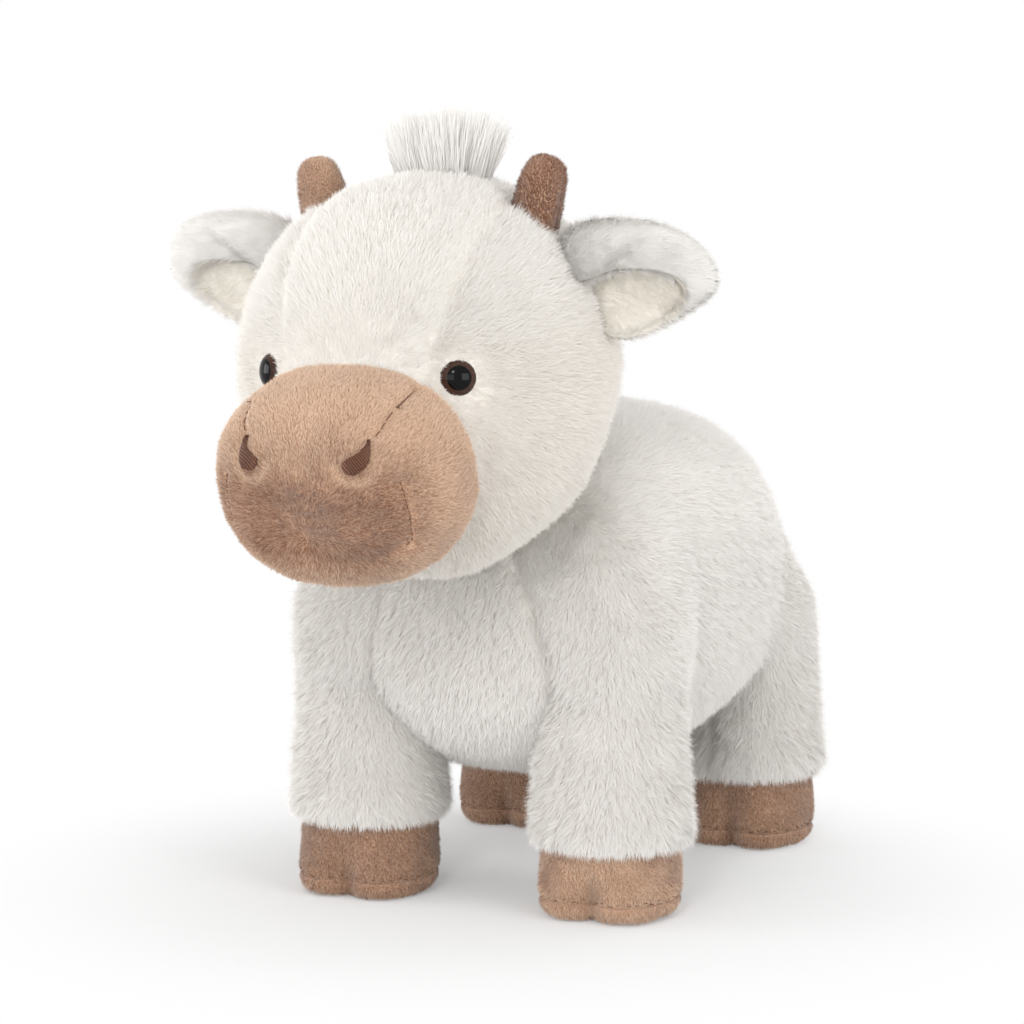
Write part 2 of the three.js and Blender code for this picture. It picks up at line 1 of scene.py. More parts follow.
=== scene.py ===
"""A standing plush cow: white long-pile covers, tan short-pile muzzle, horns and hooves, domed
eyes, embroidered nostrils, a forelock of long fur, and the sewn seams between them.

Sizes in the forms are millimetres in the pattern's own layout, whose y = 0 lies midway between the
front and rear legs. They are moved into the frame, and made metres, when a mesh is made."""

import math

import bmesh
import bpy
import numpy as np
from bpy.props import FloatProperty, FloatVectorProperty, IntProperty, PointerProperty
from mathutils import Matrix, Vector
from mathutils.bvhtree import BVHTree


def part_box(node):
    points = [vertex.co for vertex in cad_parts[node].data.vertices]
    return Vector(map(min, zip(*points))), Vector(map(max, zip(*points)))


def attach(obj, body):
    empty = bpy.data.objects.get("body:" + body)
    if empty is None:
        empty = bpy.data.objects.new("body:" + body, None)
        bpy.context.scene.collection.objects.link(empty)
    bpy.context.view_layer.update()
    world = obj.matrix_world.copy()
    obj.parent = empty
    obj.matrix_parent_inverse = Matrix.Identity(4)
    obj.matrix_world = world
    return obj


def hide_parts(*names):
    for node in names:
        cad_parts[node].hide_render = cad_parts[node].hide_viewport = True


bl_info = {
    "name": "Plush cow",
    "version": (1, 0, 0),
    "blender": (4, 5, 0),
    "location": "View3D > Sidebar > Plush cow",
    "description": "Makes the covers, pile, seams and stage of a standing plush cow",
    "category": "Object",
}

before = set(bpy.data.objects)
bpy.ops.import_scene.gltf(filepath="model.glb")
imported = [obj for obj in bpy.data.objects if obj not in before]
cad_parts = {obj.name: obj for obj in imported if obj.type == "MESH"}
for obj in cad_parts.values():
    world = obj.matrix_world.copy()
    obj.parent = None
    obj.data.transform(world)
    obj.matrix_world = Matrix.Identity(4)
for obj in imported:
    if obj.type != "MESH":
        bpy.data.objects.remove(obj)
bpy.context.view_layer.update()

MM = 0.001
LEGS = ("front_left", "front_right", "rear_left", "rear_right")
SIDES = (("left", 1), ("right", -1))


def middle(node):
    low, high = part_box(node)
    return (low + high) / 2


LEG_AXES = {name: np.array(middle("leg_cover_" + name)[:2]) / MM for name in LEGS}
LAYOUT_SHIFT = (LEG_AXES["front_left"][1] + LEG_AXES["rear_left"][1]) / 2

WHITE, TAN, CREAM = "white_plush", "tan_plush", "cream_lining"

# The main forms' sizes, as in the pattern
TORSO_CENTRE = np.array([0, 0, 118.5])
TORSO_HALVES = np.array([77, 111, 75])
TORSO_SHARE = 2.75
RUMP_DROP = 0.19
FLANK_RISE = 0.12
HEAD_CENTRE = np.array([0, -127, 210.5])
HEAD_HALVES = np.array([71, 71, 75.5])
HEAD_SHARE = 2.12
SNOUT_CENTRE = np.array([0, -185, 183.5])
SNOUT_TILT = 18
SNOUT_HALVES = np.array([46, 44, 38.5])
MUZZLE_HALVES = np.array([47.5, 38, 39.5])
MUZZLE_BASE = 11
MUZZLE_SHARE = 2.3
HIP_HEIGHTS = {"front": 104, "rear": 96}
LEG_TOP_RADIUS = 28.5
LEG_WAIST_RADIUS = 29.5
LEG_CUFF_RADIUS = 31.5
CUFF_HEIGHT = 28.5
# How much higher some cuffs sit than the pattern's, as stuffing leaves them
HEM_RISES = {"front_left": 0, "front_right": 2.5, "rear_left": 2, "rear_right": 1}
# How much painted shade darkens each hoof's pile
HOOF_PAINTED_SHADES = {"front_left": 0.2, "front_right": 0.6, "rear_left": 0.6, "rear_right": 0.6}
HOOF_RADIUS = 28
HOOF_TOP_RADIUS = 26.5
HOOF_TOP = 38.5
HOOF_BULGE = 17
SOLE_FLAT_RADIUS = 20
SOLE_SEAM = 7.5
EYE_RADIUS = 6.75
EYE_DOME = 4.2
EYE_SINK = 5.6
HORN_LEAN = 14
# The right horn stands a little shorter than the left
HORN_HEIGHTS = {1: 1, -1: 0.92}
FORELOCK_LENGTH = 31
NECK_CENTRE = np.array([0, -77.96, 161.46])
NECK_RADIUS = 19.5
NECK_TILT = 45
TAIL_PIVOT = np.array([0, 112, 144.5])
TAIL_ROOT_RADIUS = 6.4
TAIL_RADIUS = 5.0
# How far the backing of the long pile lies inside the form that the pile fills
PILE_SINK = 2.0
# How far the hooves' backing lies inside their form
NAP = 1.0
# How much further in a skin is cut that swells as it is stuffed
SWELL = 1
# How far the torso's seat keeps clear of the head, and how much the head's crown stands up
SEAT_GAP = 1.8
CROWN_RISE = 1.8

# Depths and widths of the seams' grooves. The right ones are shares of the left ones' depth.
CHEST_SEAM_DEPTH, CHEST_SEAM_WIDTH, RIGHT_CHEST_SEAM = 2.6, 2.8, 0.5
SPINE_SEAM_DEPTH, SPINE_SEAM_WIDTH = 1.6, 2.6
BROW_SEAM_DEPTH, BROW_SEAM_WIDTH, RIGHT_BROW_SEAM = 1.4, 3.8, 0.6
LEG_SEAM_DEPTHS, LEG_SEAM_WIDTH, LEG_SEAM_TURN = {"front": 1.0, "rear": 2.4}, 2.6, 0.2
SOLE_SEAM_DEPTH, SOLE_SEAM_WIDTH = 1.1, 1.1
EYE_HOLLOW_DEPTH, EYE_HOLLOW_WIDTH = 2.2, 9
# How wide the pile lies short along a seam
PARTING_WIDTH = 2.4
# A hoof's cleft and toes, as depths in millimetres and widths in radians
CLEFT_DEPTH, CLEFT_WIDTH = 6.5, 0.25
TOE_RISE, TOE_WIDTH, TOE_TURN = 2.2, 0.42, 0.62
# How many puckers go round the sole's seam, with their depth and width in millimetres
SOLE_PUCKERS, PUCKER_DEPTH, PUCKER_WIDTH = 31, 0.35, 3.2

# Where the torso's pile is cut into pieces
CHEST_PILE_HALF, CHEST_PILE_BACK, REAR_PILE_FRONT = 46, -20, 25
# What each piece's random lay adds to the seed
SEEDS = {
    "torso": 1, "leg": 20, "hoof_cover": 40, "sole": 50, "head": 60, "muzzle": 70, "horn": 80,
    "ear": 90, "lining": 94, "forelock": 99, "tail": 110,
}
# How the white and the tan pile lie: Lift in radians, the sizes in metres
LAYS = {
    "long": {
        "Lift": 0.8, "Stray": 0.36, "Tuft": 0.36, "Tuft Size": 0.0035, "Wave": 0.6,
        "Wave Size": 0.008,
    },
    "short": {
        "Lift": 0.6, "Stray": 0.3, "Tuft": 0.2, "Tuft Size": 0.003, "Wave": 1.3,
        "Wave Size": 0.012,
    },
}
# How a strand bends at even steps along it, as shares of its length
STRAND_BENDS = (0, -0.15)
FORELOCK_BENDS = (0, 0.02, 0.0, -0.04)
THREAD_SIDES = 5
SATIN_RADIUS, HOOF_THREAD_RADIUS, DART_THREAD_RADIUS = 0.26, 0.22, 0.2
STUFFING_PRESSURE, STUFFING_FRAMES = 4.0, 20


def colour(red, green, blue):
    """A colour as it looks on screen, from 0 to 255, in linear light."""
    values = [channel / 255 for channel in (red, green, blue)]
    linear = [v / 12.92 if v <= 0.04045 else ((v + 0.055) / 1.055) ** 2.4 for v in values]
    return (*linear, 1.0)


# Node trees


class Wire:
    """A node's output that takes part in sums and products, each of which adds its Math node."""

    def __init__(self, graph, socket):
        self.graph, self.socket = graph, socket

    def maths(self, operation, *values):
        return self.graph.node("ShaderNodeMath", {"operation": operation}, dict(enumerate(values)))

    def __add__(self, other):
        return self.maths("ADD", self, other)

    def __mul__(self, other):
        return self.maths("MULTIPLY", self, other)

    def __truediv__(self, other):
        return self.maths("DIVIDE", self, other)

    def __rtruediv__(self, other):
        return self.maths("DIVIDE", other, self)

    def between(self, low, high):
        """0 at low and below, 1 at high and above."""
        return self.graph.node(
            "ShaderNodeMapRange", {"interpolation_type": "SMOOTHSTEP"}, {0: self, 1: low, 2: high}
        )


class Graph:
    """Adds nodes to a tree. A node takes its settings first, then its sockets' values or links."""

    def __init__(self, tree):
        self.tree = tree

    def feed(self, socket, value):
        if isinstance(value, Wire):
            self.tree.links.new(value.socket, socket)
        else:
            socket.default_value = value

    def node(self, kind, settings=None, values=None, out=0):
        made = self.tree.nodes.new(kind)
        for name, value in (settings or {}).items():
            setattr(made, name, value)
        for key, value in (values or {}).items():
            self.feed(made.inputs[key], value)
        return Wire(self, made.outputs[out])

    def several(self, kind, outs, settings=None, values=None):
        first = self.node(kind, settings, values, outs[0])
        return [first] + [Wire(self, first.socket.node.outputs[key]) for key in outs[1:]]

    def vector(self, operation, *values, out=0):
        values = dict(enumerate(values))
        return self.node("ShaderNodeVectorMath", {"operation": operation}, values, out)

    def scaled(self, vector, factor):
        values = {0: vector, "Scale": factor}
        return self.node("ShaderNodeVectorMath", {"operation": "SCALE"}, values)

    def mixed(self, factor, first, second):
        return self.node(
            "ShaderNodeMix", {"data_type": "RGBA"}, {0: factor, 6: first, 7: second}, out=2
        )

    def noise(self, place, scale, detail=2.0, out=0):
        return self.node(
            "ShaderNodeTexNoise", None, {"Vector": place, "Scale": scale, "Detail": detail}, out
        )


class Finish(Graph):
    """A material with one surface shader, which the keyword values set or link."""

    def __init__(self, name):
        self.material = bpy.data.materials.new(name)
        self.material.use_nodes = True
        super().__init__(self.material.node_tree)
        self.tree.nodes.clear()
        self.output = self.tree.nodes.new("ShaderNodeOutputMaterial")

    def place(self):
        return self.node("ShaderNodeTexCoord", out="Object")

    def surface(self, **values):
        shader = self.tree.nodes.new("ShaderNodeBsdfPrincipled")
        for name, value in values.items():
            self.feed(shader.inputs[name.replace("_", " ")], value)
        self.tree.links.new(shader.outputs[0], self.output.inputs[0])
        return self.material

    def bump(self, height, distance, strength):
        return self.node(
            "ShaderNodeBump", None, {"Height": height, "Distance": distance, "Strength": strength}
        )


# Finishes


def backing_finish(name, main, shade):
    """Knitted backing seen between the pile: a fine weave and soft, slow changes of tone."""
    f = Finish(name)
    place = f.place()
    tone = f.noise(place, 40, 3)
    weave = f.noise(place, 1400, 2)
    base = f.mixed(tone.between(0.3, 0.75), main, shade)
    return f.surface(
        Base_Color=base, Roughness=0.95, Normal=f.bump(weave, 0.0006, 0.6),
        Sheen_Weight=0.25, Sheen_Roughness=0.6,
    )


def pile_finish(name, root, tip, dark, sheen):
    """One strand: its root's colour runs into its tip's, and each strand's tone, part random and
    part the painted shade of its skin, runs it towards dark.
    """
    f = Finish(name)
    across, along = f.several(
        "ShaderNodeSeparateXYZ", (0, 1), None, {0: f.node("ShaderNodeUVMap", {"uv_map": "OFBake"})}
    )
    strand = f.mixed(along.between(0.0, 0.7), root, tip)
    base = f.mixed(across.between(0.1, 1.0), strand, dark)
    return f.surface(Base_Color=base, Roughness=0.9, Sheen_Weight=sheen, Sheen_Roughness=0.5)


def thread_finish(name, main, shade):
    """Twisted thread, with painted shade between its plies."""
    f = Finish(name)
    place = f.place()
    twist = f.node(
        "ShaderNodeTexWave", {"bands_direction": "DIAGONAL"},
        {"Vector": place, "Scale": 430, "Distortion": 2.0, "Detail Scale": 2.0}, 1,
    )
    return f.surface(
        Base_Color=f.mixed(twist.between(0.25, 0.9), shade, main), Roughness=0.55,
        Normal=f.bump(twist, 0.0004, 0.6), Sheen_Weight=0.1,
    )


def eye_finish(pupil, rim):
    """A dark pupil in a mottled brown rim, under one glossy dome."""
    f = Finish("eye_plastic")
    out = f.node("ShaderNodeAttribute", {"attribute_name": "radius"}, out="Fac")
    place = f.place()
    mottle = f.noise(place, 700, 2)
    rimmed = f.mixed(mottle.between(0.3, 0.8) * 0.45, rim, pupil)
    base = f.mixed(out.between(0.62, 0.70), pupil, rimmed)
    rough = f.noise(place, 300) * 0.06 + 0.05
    return f.surface(
        Base_Color=base, Roughness=rough, Coat_Weight=0.1, Coat_Roughness=0.03, IOR=1.2
    )


def moulded_finish(name, main):
    """Moulded plastic with a fine grain and slow changes of tone."""
    f = Finish(name)
    place = f.place()
    grain = f.noise(place, 800, 3)
    return f.surface(
        Base_Color=f.mixed(f.noise(place, 90) * 0.3, main, (0.6, 0.58, 0.54, 1)),
        Roughness=grain * 0.15 + 0.4, Normal=f.bump(grain, 0.0002, 0.4),
    )


def seen_straight(graph):
    """1 for what the camera sees, also in gloss and through clear pieces."""
    camera, glossy, through = graph.several(
        "ShaderNodeLightPath", ("Is Camera Ray", "Is Glossy Ray", "Is Transmission Ray")
    )
    seen = camera.maths("MAXIMUM", camera, glossy)
    return seen.maths("MAXIMUM", seen, through)


def floor_finish(near, far):
    """Pale floor under the cow that runs out into plain white, for what the camera sees. Even
    beside the cow a fifth of what the camera sees of it glows: painted light that lightens the
    cow's shadow.
    """
    f = Finish("studio_floor")
    distance = f.vector("LENGTH", f.place(), out="Value")
    grain = f.noise(f.place(), 60)
    paint = f.mixed(grain * 0.2, near, (0.8, 0.8, 0.8, 1))
    shader = f.node("ShaderNodeBsdfDiffuse", None, {"Color": paint, "Roughness": 0.6})
    glow = f.node("ShaderNodeEmission", None, {"Color": far, "Strength": 1.0})
    white = (distance.between(0.09, 0.25) * 0.8 + 0.2) * seen_straight(f)
    mix = f.node("ShaderNodeMixShader", None, {0: white, 1: shader, 2: glow})
    f.tree.links.new(mix.socket, f.output.inputs[0])
    return f.material


# Meshes


def frame_points(points):
    """Layout points, in the frame and in metres."""
    return (np.asarray(points, float) + [0, LAYOUT_SHIFT, 0]) * MM


def layout_points(points):
    """Points in the frame, in the layout and in millimetres."""
    return np.asarray(points, float) / MM - [0, LAYOUT_SHIFT, 0]


def linked(name, data):
    obj = bpy.data.objects.new(name, data)
    bpy.context.scene.collection.objects.link(obj)
    return obj


def made(name, points, faces, material=None, edges=()):
    """A new object from layout points, with its faces outwards if it has any."""
    mesh = bpy.data.meshes.new(name)
    mesh.from_pydata(frame_points(points).tolist(), list(edges), faces)
    if faces:
        form = bmesh.new()
        form.from_mesh(mesh)
        bmesh.ops.recalc_face_normals(form, faces=form.faces)
        form.to_mesh(mesh)
        form.free()
    mesh.polygons.foreach_set("use_smooth", [True] * len(mesh.polygons))
    obj = linked(name, mesh)
    if material:
        dyed(obj, material)
    return obj


def settle(obj):
    """Applies the modifiers, and leaves a plain mesh."""
    graph = bpy.context.evaluated_depsgraph_get()
    mesh = bpy.data.meshes.new_from_object(obj.evaluated_get(graph), depsgraph=graph)
    old = obj.data
    obj.modifiers.clear()
    obj.data = mesh
    bpy.data.meshes.remove(old)
    return obj


def corners(obj):
    """The mesh's points in the layout, and its normals."""
    mesh = obj.data
    places = np.empty(len(mesh.vertices) * 3)
    normals = np.empty(len(mesh.vertices) * 3)
    mesh.vertices.foreach_get("co", places)
    mesh.vertex_normals.foreach_get("vector", normals)
    return layout_points(places.reshape(-1, 3)), normals.reshape(-1, 3)


def dyed(obj, material):
    obj.data.materials.clear()
    obj.data.materials.append(material)


def reshape(obj, points):
    """Moves the mesh's points to new places in the layout."""
    obj.data.vertices.foreach_set("co", frame_points(points).ravel())
    obj.data.update()


def write_attribute(obj, name, values):
    kind, key = ("FLOAT_VECTOR", "vector") if np.ndim(values) == 2 else ("FLOAT", "value")
    layer = obj.data.attributes.new(name, kind, "POINT")
    layer.data.foreach_set(key, np.asarray(values, np.float32).ravel())


def rows_closed(rows, sides):
    """Faces over rows of corners, with a pole before the first row and one after the last."""
    last = rows * sides + 1

    def at(row, side):
        return 1 + row * sides + side % sides

    faces = [(0, at(0, s), at(0, s + 1)) for s in range(sides)]
    for row in range(rows - 1):
        for s in range(sides):
            faces.append((at(row, s), at(row + 1, s), at(row + 1, s + 1), at(row, s + 1)))
    return faces + [(at(rows - 1, s + 1), at(rows - 1, s), last) for s in range(sides)]


def plump_form(centre, halves, share, rings, sides, shape=None):
    """A ball pulled towards a box as share rises above 2, with its poles on Y. Shape may bend the
    ball of halves 1 before it takes its size and place."""
    polar = np.linspace(0, np.pi, rings + 1)[1:-1]
    turn = np.linspace(0, 2 * np.pi, sides, endpoint=False)
    p, t = np.meshgrid(polar, turn, indexing="ij")
    unit = np.stack([np.sin(p) * np.cos(t), np.cos(p), np.sin(p) * np.sin(t)], -1).reshape(-1, 3)
    unit = np.vstack([[[0, 1, 0]], unit, [[0, -1, 0]]])
    unit /= (np.abs(unit) ** share).sum(1)[:, None] ** (1 / share)
    if shape:
        unit = shape(unit)
    return unit * halves + centre, rows_closed(rings - 1, sides)


def turned_form(centre, profile, sides, shape=None):
    """A form turned about Z from (radius, height) rows that start and end on the axis."""
    profile = np.asarray(profile, float)
    turn = np.linspace(0, 2 * np.pi, sides, endpoint=False)
    ring = np.stack([np.cos(turn), np.sin(turn)], -1)
    rows = [[[0, 0, profile[0, 1]]]]
    for radius, height in profile[1:-1]:
        rows.append(np.column_stack([radius * ring, np.full(sides, height)]))
    rows.append([[0, 0, profile[-1, 1]]])
    points = np.vstack(rows)
    if shape:
        points = shape(points)
    return points + centre, rows_closed(len(profile) - 2, sides)


def curved(knots, steps):
    """Even steps of a smooth curve through knots, of which the first and last only steer it."""
    return [
        0.5 * (
            2 * b + (c - a) * t + (2 * a - 5 * b + 4 * c - d) * t**2
            + (3 * b - a - 3 * c + d) * t**3
        )
        for a, b, c, d in zip(knots, knots[1:], knots[2:], knots[3:])
        for t in np.arange(steps) / steps
    ]


def softened(profile, steps):
    """A profile's rows with its corners rounded by a smooth curve through them."""
    profile = np.asarray(profile, float)
    padded = np.vstack([2 * profile[0] - profile[1], profile, 2 * profile[-1] - profile[-2]])
    rows = np.array(curved(padded, steps) + [profile[-1]])
    rows[:, 0] = np.maximum(rows[:, 0], 0)
    rows[0, 0] = rows[-1, 0] = 0
    return rows


def together(forms):
    """Several forms' points and faces as one form's."""
    points, faces, start = [], [], 0
    for form_points, form_faces in forms:
        points.append(form_points)
        faces += [tuple(corner + start for corner in face) for face in form_faces]
        start += len(form_points)
    return np.vstack(points), faces


def fused(name, forms, voxel, rounding):
    """Forms sewn into one skin, with soft hollows where they meet."""
    obj = made(name, *together(forms))
    remesh = obj.modifiers.new("remesh", "REMESH")
    remesh.mode = "VOXEL"
    remesh.voxel_size = voxel * MM
    soften = obj.modifiers.new("soften", "SMOOTH")
    soften.iterations = rounding
    return settle(obj)


def stuffed(obj, cap):
    """Blows the skin up as filling does, by cloth simulation, to at most cap from where it was."""
    start, _ = corners(obj)
    cloth = obj.modifiers.new("filling", "CLOTH")
    cloth.settings.use_pressure = True
    cloth.settings.uniform_pressure_force = STUFFING_PRESSURE
    cloth.settings.effector_weights.gravity = 0
    cloth.point_cache.frame_start = 1
    cloth.point_cache.frame_end = STUFFING_FRAMES
    for step in range(1, STUFFING_FRAMES + 1):
        bpy.context.scene.frame_set(step)
    settle(obj)
    bpy.context.scene.frame_set(1)
    end, _ = corners(obj)
    move = end - start
    length = lengths(move)
    factor = cap * np.tanh(length / cap) / np.maximum(length, 1e-9)
    reshape(obj, start + move * factor[:, None])


def refined(obj):
    """Cuts each face of the skin in four, smoothly."""
    fine = obj.modifiers.new("fine", "SUBSURF")
    fine.levels = fine.render_levels = 1
    settle(obj)
    obj.data.polygons.foreach_set("use_smooth", [True] * len(obj.data.polygons))


def lengths(vectors):
    return np.linalg.norm(vectors, axis=1)


def directions(vectors):
    return vectors / lengths(vectors)[:, None]


def bell(values, width):
    """1 where values are 0, and falling away to both sides over the width."""
    return np.exp(-((values / width) ** 2))


def stepped(values, low, high):
    """0 at low and below, 1 at high and above, smooth between."""
    share = np.clip((np.asarray(values, float) - low) / (high - low), 0, 1)
    return share * share * (3 - 2 * share)


def along_skin(direction, normals):
    """Directions laid flat on the skin."""
    flat = direction - (direction * normals).sum(1)[:, None] * normals
    return flat / np.maximum(lengths(flat), 1e-6)[:, None]


def turned_x(points, degrees):
    """Points turned about X."""
    c, s = math.cos(math.radians(degrees)), math.sin(math.radians(degrees))
    return np.asarray(points, float) @ np.array([[1, 0, 0], [0, c, s], [0, -s, c]])


def to_snout(points):
    """Layout points in the snout's own places, ahead along -Y."""
    return turned_x(np.asarray(points, float) - SNOUT_CENTRE, -SNOUT_TILT)


def from_snout(points):
    return turned_x(points, SNOUT_TILT) + SNOUT_CENTRE


def inside_plump(points, centre, halves, share):
    """Below 1 inside a plump form, 1 on it and above 1 outside."""
    return (np.abs((points - centre) / halves) ** share).sum(1) ** (1 / share)


def tree_of(obj):
    return BVHTree.FromObject(obj, bpy.context.evaluated_depsgraph_get())


def depth_in(tree, points):
    """How far each layout point lies inside a closed skin, in millimetres; below 0 is outside."""
    depths = []
    for point in frame_points(points):
        place, normal, _, _ = tree.find_nearest(Vector(point))
        depths.append((place - Vector(point)).dot(normal) / MM)
    return np.array(depths)


def reach(line):
    """The lengths of a line's steps, and how far along it each point lies."""
    steps = lengths(np.diff(line, axis=0))
    return steps, np.r_[0, np.cumsum(steps)]


def line_distance(points, line):
    """Distance of flat points from a line of flat points, and the share of the way along it."""
    line = np.asarray(line, float)
    steps, starts = reach(line)
    best, along = np.full(len(points), np.inf), np.zeros(len(points))
    for i, (a, b) in enumerate(zip(line, line[1:])):
        t = np.clip((points - a) @ (b - a) / steps[i] ** 2, 0, 1)
        far = lengths(points - (a + t[:, None] * (b - a)))
        closer = far < best
        best[closer] = far[closer]
        along[closer] = (starts[i] + t[closer] * steps[i]) / starts[-1]
    return best, along


# Pile and thread, by Geometry Nodes


def node_group(name, sockets):
    """A new node tree over a mesh: its graph, its inputs by name, and its output node."""
    tree = bpy.data.node_groups.new(name, "GeometryNodeTree")
    tree.interface.new_socket("Geometry", in_out="OUTPUT", socket_type="NodeSocketGeometry")
    tree.interface.new_socket("Geometry", in_out="INPUT", socket_type="NodeSocketGeometry")
    for label, kind in sockets:
        tree.interface.new_socket(label, in_out="INPUT", socket_type="NodeSocket" + kind)
    graph = Graph(tree)
    entry = tree.nodes.new("NodeGroupInput")
    inputs = {socket.name: Wire(graph, socket) for socket in entry.outputs if socket.name}
    return graph, inputs, tree.nodes.new("NodeGroupOutput")


def pile_tree():
    """Strands set over a skin: combed along its comb attribute, drawn together in tufts."""
    g, given, output = node_group(
        "Pile",
        [
            ("Strand", "Object"), ("Density", "Float"), ("Length", "Float"), ("Width", "Float"),
            ("Lift", "Float"), ("Stray", "Float"), ("Tuft", "Float"), ("Tuft Size", "Float"),
            ("Wave", "Float"), ("Wave Size", "Float"), ("Seed", "Int"), ("Material", "Material"),
        ],
    )

    def attribute(name, kind="FLOAT"):
        return g.node("GeometryNodeInputNamedAttribute", {"data_type": kind}, {"Name": name})

    def chance(low, high, salt, kind="FLOAT"):
        seed = given["Seed"] + salt
        settings = {"data_type": kind}
        if kind == "FLOAT":
            return g.node("FunctionNodeRandomValue", settings, {2: low, 3: high, "Seed": seed}, 1)
        return g.node("FunctionNodeRandomValue", settings, {0: low, 1: high, "Seed": seed}, 0)

    points, normal = g.several(
        "GeometryNodeDistributePointsOnFaces", ("Points", "Normal"), None,
        {
            "Mesh": given["Geometry"], "Density": given["Density"] * attribute("cover"),
            "Seed": given["Seed"],
        },
    )
    place = g.node("GeometryNodeInputPosition")
    cell = g.node(
        "ShaderNodeTexVoronoi", None, {"Vector": place, "Scale": 1 / given["Tuft Size"]}, "Position"
    )
    pull = g.scaled(g.vector("SUBTRACT", cell, place), given["Tuft"] / given["Tuft Size"])
    flow = g.noise(place, 1 / given["Wave Size"], 1.0, "Color")
    wave = g.scaled(g.vector("SUBTRACT", flow, (0.5, 0.5, 0.5)), given["Wave"])
    stray = g.scaled(chance((-1, -1, -1), (1, 1, 1), 7, "FLOAT_VECTOR"), given["Stray"])
    lift = given["Lift"] * attribute("stand")
    combed = g.scaled(attribute("comb", "FLOAT_VECTOR"), lift.maths("COSINE", lift))
    raised = g.scaled(normal, lift.maths("SINE", lift))
    direction = g.vector("ADD", g.vector("ADD", combed, raised), g.vector("ADD", pull, wave))
    direction = g.vector("ADD", direction, stray)
    face = g.vector("ADD", normal, attribute("face", "FLOAT_VECTOR"))
    turn = g.node(
        "FunctionNodeAxesToRotation", {"primary_axis": "Z", "secondary_axis": "X"},
        {0: direction, 1: face},
    )
    length = given["Length"] * attribute("pile") * chance(0.7, 1.15, 11)
    size = g.node("ShaderNodeCombineXYZ", None, {0: given["Width"], 1: given["Width"], 2: length})
    strand = g.node("GeometryNodeObjectInfo", None, {"Object": given["Strand"]}, "Geometry")
    strands = g.node(
        "GeometryNodeInstanceOnPoints", None,
        {"Points": points, "Instance": strand, "Rotation": turn, "Scale": size},
    )
    # A strand's tone: a random part, and the painted shade of its skin.
    tone = chance(0.0, 0.4, 23) + attribute("shade") * 0.58 + 0.01
    toned = g.node(
        "GeometryNodeStoreNamedAttribute", {"data_type": "FLOAT", "domain": "INSTANCE"},
        {"Geometry": strands, "Name": "tone", "Value": tone},
    )
    real = g.node("GeometryNodeRealizeInstances", None, {"Geometry": toned})
    print_place = g.node(
        "ShaderNodeCombineXYZ", None,
        {0: attribute("tone") + attribute("across") * 0.004, 1: attribute("along")},
    )
    mapped = g.node(
        "GeometryNodeStoreNamedAttribute", {"data_type": "FLOAT2", "domain": "CORNER"},
        {"Geometry": real, "Name": "OFBake", "Value": print_place},
    )
    dyed = g.node(
        "GeometryNodeSetMaterial", None, {"Geometry": mapped, "Material": given["Material"]}
    )
    g.feed(output.inputs[0], dyed)
    return g.tree


def thread_tree():
    """Tubes of thread along a mesh's edges."""
    g, given, output = node_group("Thread", [("Radius", "Float"), ("Material", "Material")])
    lines = g.node("GeometryNodeMeshToCurve", None, {"Mesh": given["Geometry"]})
    ring = g.node(
        "GeometryNodeCurvePrimitiveCircle", None,
        {"Resolution": THREAD_SIDES, "Radius": given["Radius"]},
    )
    tubes = g.node(
        "GeometryNodeCurveToMesh", None, {"Curve": lines, "Profile Curve": ring, "Fill Caps": True}
    )
    real = g.node("GeometryNodeRealizeInstances", None, {"Geometry": tubes})
    dyed = g.node(
        "GeometryNodeSetMaterial", None, {"Geometry": real, "Material": given["Material"]}
    )
    g.feed(output.inputs[0], dyed)
    return g.tree


def run_tree(obj, tree, values):
    """Runs a node tree on an object, with its inputs set by their identifiers."""
    modifier = obj.modifiers.new(tree.name, "NODES")
    modifier.node_group = tree
    for item in tree.interface.items_tree:
        if item.item_type == "SOCKET" and item.in_out == "INPUT" and item.name in values:
            modifier[item.identifier] = values[item.name]
    settle(obj)


def strand_mesh(bends, slender):
    """A tapered blade one wide and one long. Its bend is given at even steps, as a share of its
    length, which is slender times its width."""
    count = len(bends)
    points, across, along, faces = [], [], [], []
    for i, bend in enumerate(bends):
        share = i / (count - 1)
        for side in (0,) if i == count - 1 else (-1, 1):
            points.append((bend * slender, side * 0.5 * (1 - 0.55 * share**1.5), share))
            across.append(side)
            along.append(0.02 + 0.96 * share)
    for i in range(0, 2 * count - 4, 2):
        faces.append((i, i + 1, i + 3, i + 2))
    last = 2 * (count - 1)
    faces.append((last - 2, last - 1, last))
    mesh = bpy.data.meshes.new("strand")
    mesh.from_pydata(points, [], faces)
    mesh.polygons.foreach_set("use_smooth", [True] * len(faces))
    obj = linked("strand", mesh)
    write_attribute(obj, "across", across)
    write_attribute(obj, "along", along)
    return obj


